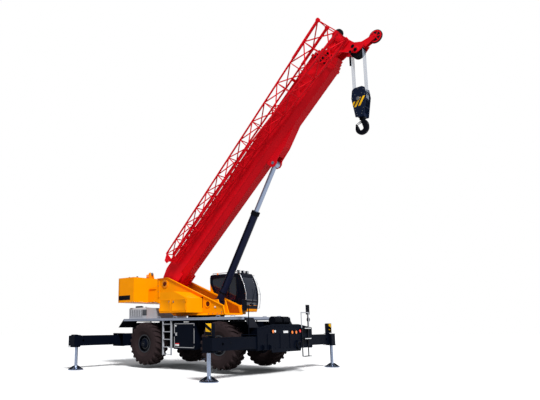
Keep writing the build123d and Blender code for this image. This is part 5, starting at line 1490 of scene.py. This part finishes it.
    def hood(self, kit: Kit) -> None:
        """Slats, side plates and handles of the engine hood."""
        for side in Side:
            for row in range(7):
                x = -3.346 + 0.12 * row
                for step in range(6):
                    z = 2.145 + 0.046 * step
                    kit.brick((x + 0.006, side * 1.272, z), (x + 0.054, side * 1.278, z + 0.02))
            y = side * 1.252
            kit.panel((-2.62, y - 0.006, 2.16), (-2.3, y + 0.006, 2.4), (0, side, 0), 0.02, 0.004)
        kit.close("hood_slats", "carrier", SLAT, 0.001)
        for side in Side:
            for x in (-3.2, -2.8):
                self.grip(kit, (x, side * 0.85, 2.502), 0.033, 0.06, (0.007, 0.009), 8)
        kit.close("hood_handles", "carrier", BOLT, 0.0)

    def build(self, kit: Kit) -> None:
        """Builds every fitting of the carrier."""
        self.mirror_heads(kit)
        self.cabinet(kit)
        self.deck(kit)
        self.tank(kit)
        self.front(kit)
        self.rear(kit)
        self.hood(kit)


@dataclass
class OutriggerFittings:
    """Striped markers, wear strips, mouth frames and float ribs of the outriggers.

    Attributes:
        jack: how far out along X and Y the jacks stand.
        outer_end: the beams' outer ends.
        middle_x: how far out along X the boxes' middles are.
        quarter: offset of each beam from the middle of its box.
        half: half a beam's width.
        rise: how far its strips stand out, little enough to pass into the box.
        plate: outline of a marker.
        bands: its dark stripes.
        rim: profile of a float's rim.
        rib: radius and height along a float's rib.
    """

    jack: Flat = (3.546, 3.877)
    outer_end: float = 4.06
    middle_x: float = 3.535
    quarter: float = 0.1675
    half: float = 0.1485
    rise: float = 0.003
    plate: Outline = ((-0.118, 1.405), (-0.118, 1.775), (0.118, 1.775), (0.118, 1.405))
    bands: tuple[Outline, ...] = (
        ((-0.118, 1.525), (-0.118, 1.407), (0.118, 1.407), (0.118, 1.515)),
        ((-0.118, 1.773), (-0.118, 1.655), (0.118, 1.507), (0.118, 1.617)),
    )
    rim: Outline = ((0.262, 0.012), (0.3, 0.012), (0.303, 0.03), (0.29, 0.04), (0.262, 0.06))
    rib: Outline = ((0.08, 0.165), (0.115, 0.16), (0.285, 0.045), (0.285, 0.02), (0.08, 0.06))

    def beam_x(self, corner: Corner) -> float:
        """Returns the middle of one beam along X."""
        return corner.end * (self.middle_x - corner.side * self.quarter)

    def marker(self, kit: Kit, corner: Corner) -> None:
        """Face and stripes on both sides of a front marker plate."""
        for name, finish, edge, outlines, gap, depth in (
            ("marker_face_", STRIPE, 0.0008, (self.plate,), 0.001, 0.003),
            ("marker_stripes_", TRIM, 0.0006, self.bands, 0.003, 0.002),
        ):
            for y, way in ((self.outer_end + gap, corner.side), (self.outer_end - 0.014 - gap, -corner.side)):
                for outline in outlines:
                    kit.sheet(outline, corner.side * y, way * depth, (self.beam_x(corner), 0.0))
            kit.close(name + corner.tag, "beam_" + corner.tag, finish, edge)

    def beam(self, kit: Kit, corner: Corner) -> None:
        """Wear strips, pin boss and housing cap of one beam."""
        x, side = self.beam_x(corner), corner.side
        for way in (-1, 1):
            face = x + way * self.half
            inner, outer = face - way * 0.001, face + way * self.rise
            kit.bar((face - way * 0.002, side * 3.17, 1.18), (outer, side * 3.17, 1.18), 0.038, 16, 0.0)
            kit.brick((inner, side * 1.92, 0.968), (outer, side * 2.66, 0.992))
            kit.brick((inner, side * 2.1, 1.3), (outer, side * 3.66, 1.318))
        y, top = side * self.jack[1], 1.3655
        kit.panel((x - 0.09, y - 0.1, top - 0.002), (x + 0.09, y + 0.1, top + 0.01), (0, 0, 1), 0.02, 0.006)
        kit.close("beam_fittings_" + corner.tag, "beam_" + corner.tag, IRON, 0.0008)

    def float_ribs(self, kit: Kit, corner: Corner) -> None:
        """Ribs and rim of one float."""
        middle = Vector((corner.end * self.jack[0], corner.side * self.jack[1], 0))
        kit.turned(self.rim, 40, Matrix.Translation(middle))
        for step in range(8):
            turn = swing(45.0 * step, "Z")
            corners = [middle + turn @ Vector((reach, -0.007, z)) for reach, z in self.rib]
            kit.slab(corners, turn @ Vector((0, 0.014, 0)))
        kit.close("float_ribs_" + corner.tag, "jack_" + corner.tag, IRON, 0.002)

    def mouth(self, kit: Kit, corner: Corner) -> None:
        """Frame about the mouth of one beam's box."""
        near, far, end = corner.side * 1.7, corner.side * 1.776, corner.end
        low, high = sorted((end * 3.2, end * 3.87))
        for z in (1.399, 0.866):
            kit.brick((low - 0.014, near, z), (high + 0.001, far, z + 0.015))
        kit.brick((end * 3.186, near, 0.866), (end * 3.201, far, 1.414))

    def build(self, kit: Kit) -> None:
        """Builds the fittings of all four outriggers."""
        for corner in Corner:
            if corner.end > 0:
                self.marker(kit, corner)
            self.beam(kit, corner)
            self.float_ribs(kit, corner)
        for corner in Corner:
            self.mouth(kit, corner)
        kit.close("box_mouth_frames", "carrier", CARRIER_BLACK)


@dataclass
class LiftFittings:
    """Gland, bolts, ports and pipe of the lift cylinder.

    Attributes:
        foot: its foot pin's X and Z.
        top: its rod pin, along and square to the boom.
        length: foot to gland.
        gland: profile of the gland.
        collar: profile of the foot's collar.
        ports: each port's or clip's place along the barrel, near and far end, radius and faces.
        pipe: its two ends along the barrel, and how far it is from the middle.
    """

    foot: Flat = (0.7, 2.65)
    top: Flat = (7.02, -0.68)
    length: float = 4.0
    gland: Outline = (
        (0.15, 0.0), (0.172, 0.0), (0.172, 0.155), (0.165, 0.164), (0.12, 0.164), (0.12, 0.15), (0.15, 0.15),
    )
    collar: Outline = ((0.15, 0.0), (0.166, 0.0), (0.166, 0.06), (0.15, 0.06))
    ports: tuple[tuple[float, float, float, float, int], ...] = (
        (3.55, 0.145, 0.195, 0.028, 12), (0.7, 0.145, 0.195, 0.028, 12),
        (1.4, 0.14, 0.2, 0.024, 8), (2.1, 0.14, 0.2, 0.024, 8), (2.8, 0.14, 0.2, 0.024, 8),
    )
    pipe: Point = (0.7, 3.55, 0.178)

    def build(self, kit: Kit) -> None:
        """Builds the fittings of the cylinder."""
        foot = Vector((self.foot[0], 0.0, self.foot[1]))
        ahead = (Vector(along_boom(*self.top, 0.0)) - foot).normalized()
        turn = ahead.to_track_quat("Z", "Y").to_matrix().to_4x4()
        end = Matrix.Translation(foot + ahead * (self.length - 0.16)) @ turn
        kit.turned(self.gland, 40, end)
        kit.turned(self.collar, 40, Matrix.Translation(foot + ahead * 0.42) @ turn)
        for step in range(12):
            kit.stud(end @ swing(30.0 * step, "Z"), 0.146, 0.16, 0.176, 0.01, 6)
        for reach, near, far, radius, sides in self.ports:
            place = foot + ahead * reach
            kit.pin(place.x, place.z, -near, -far, radius, sides)
        lower, upper, out = self.pipe
        side = Vector((0, -out, 0))
        kit.bar(foot + ahead * lower + side, foot + ahead * upper + side, 0.017)
        kit.close("lift_barrel_fittings", "lift_barrel", TRIM, 0.0015)


def main() -> None:
    """Builds everything in order."""
    logging.basicConfig(level=logging.INFO, format="%(message)s")
    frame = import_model()
    shop = Paintshop()
    shop.dress_nodes(frame)
    kit = Kit(shop)
    for part in (
        Tyres(), HookTackle(), BoomFittings(), CabFittings(),
        UpperworksFittings(), CarrierFittings(), OutriggerFittings(), LiftFittings(),
    ):
        part.build(kit)
    Stage().build()


if __name__ == "__main__":
    main()
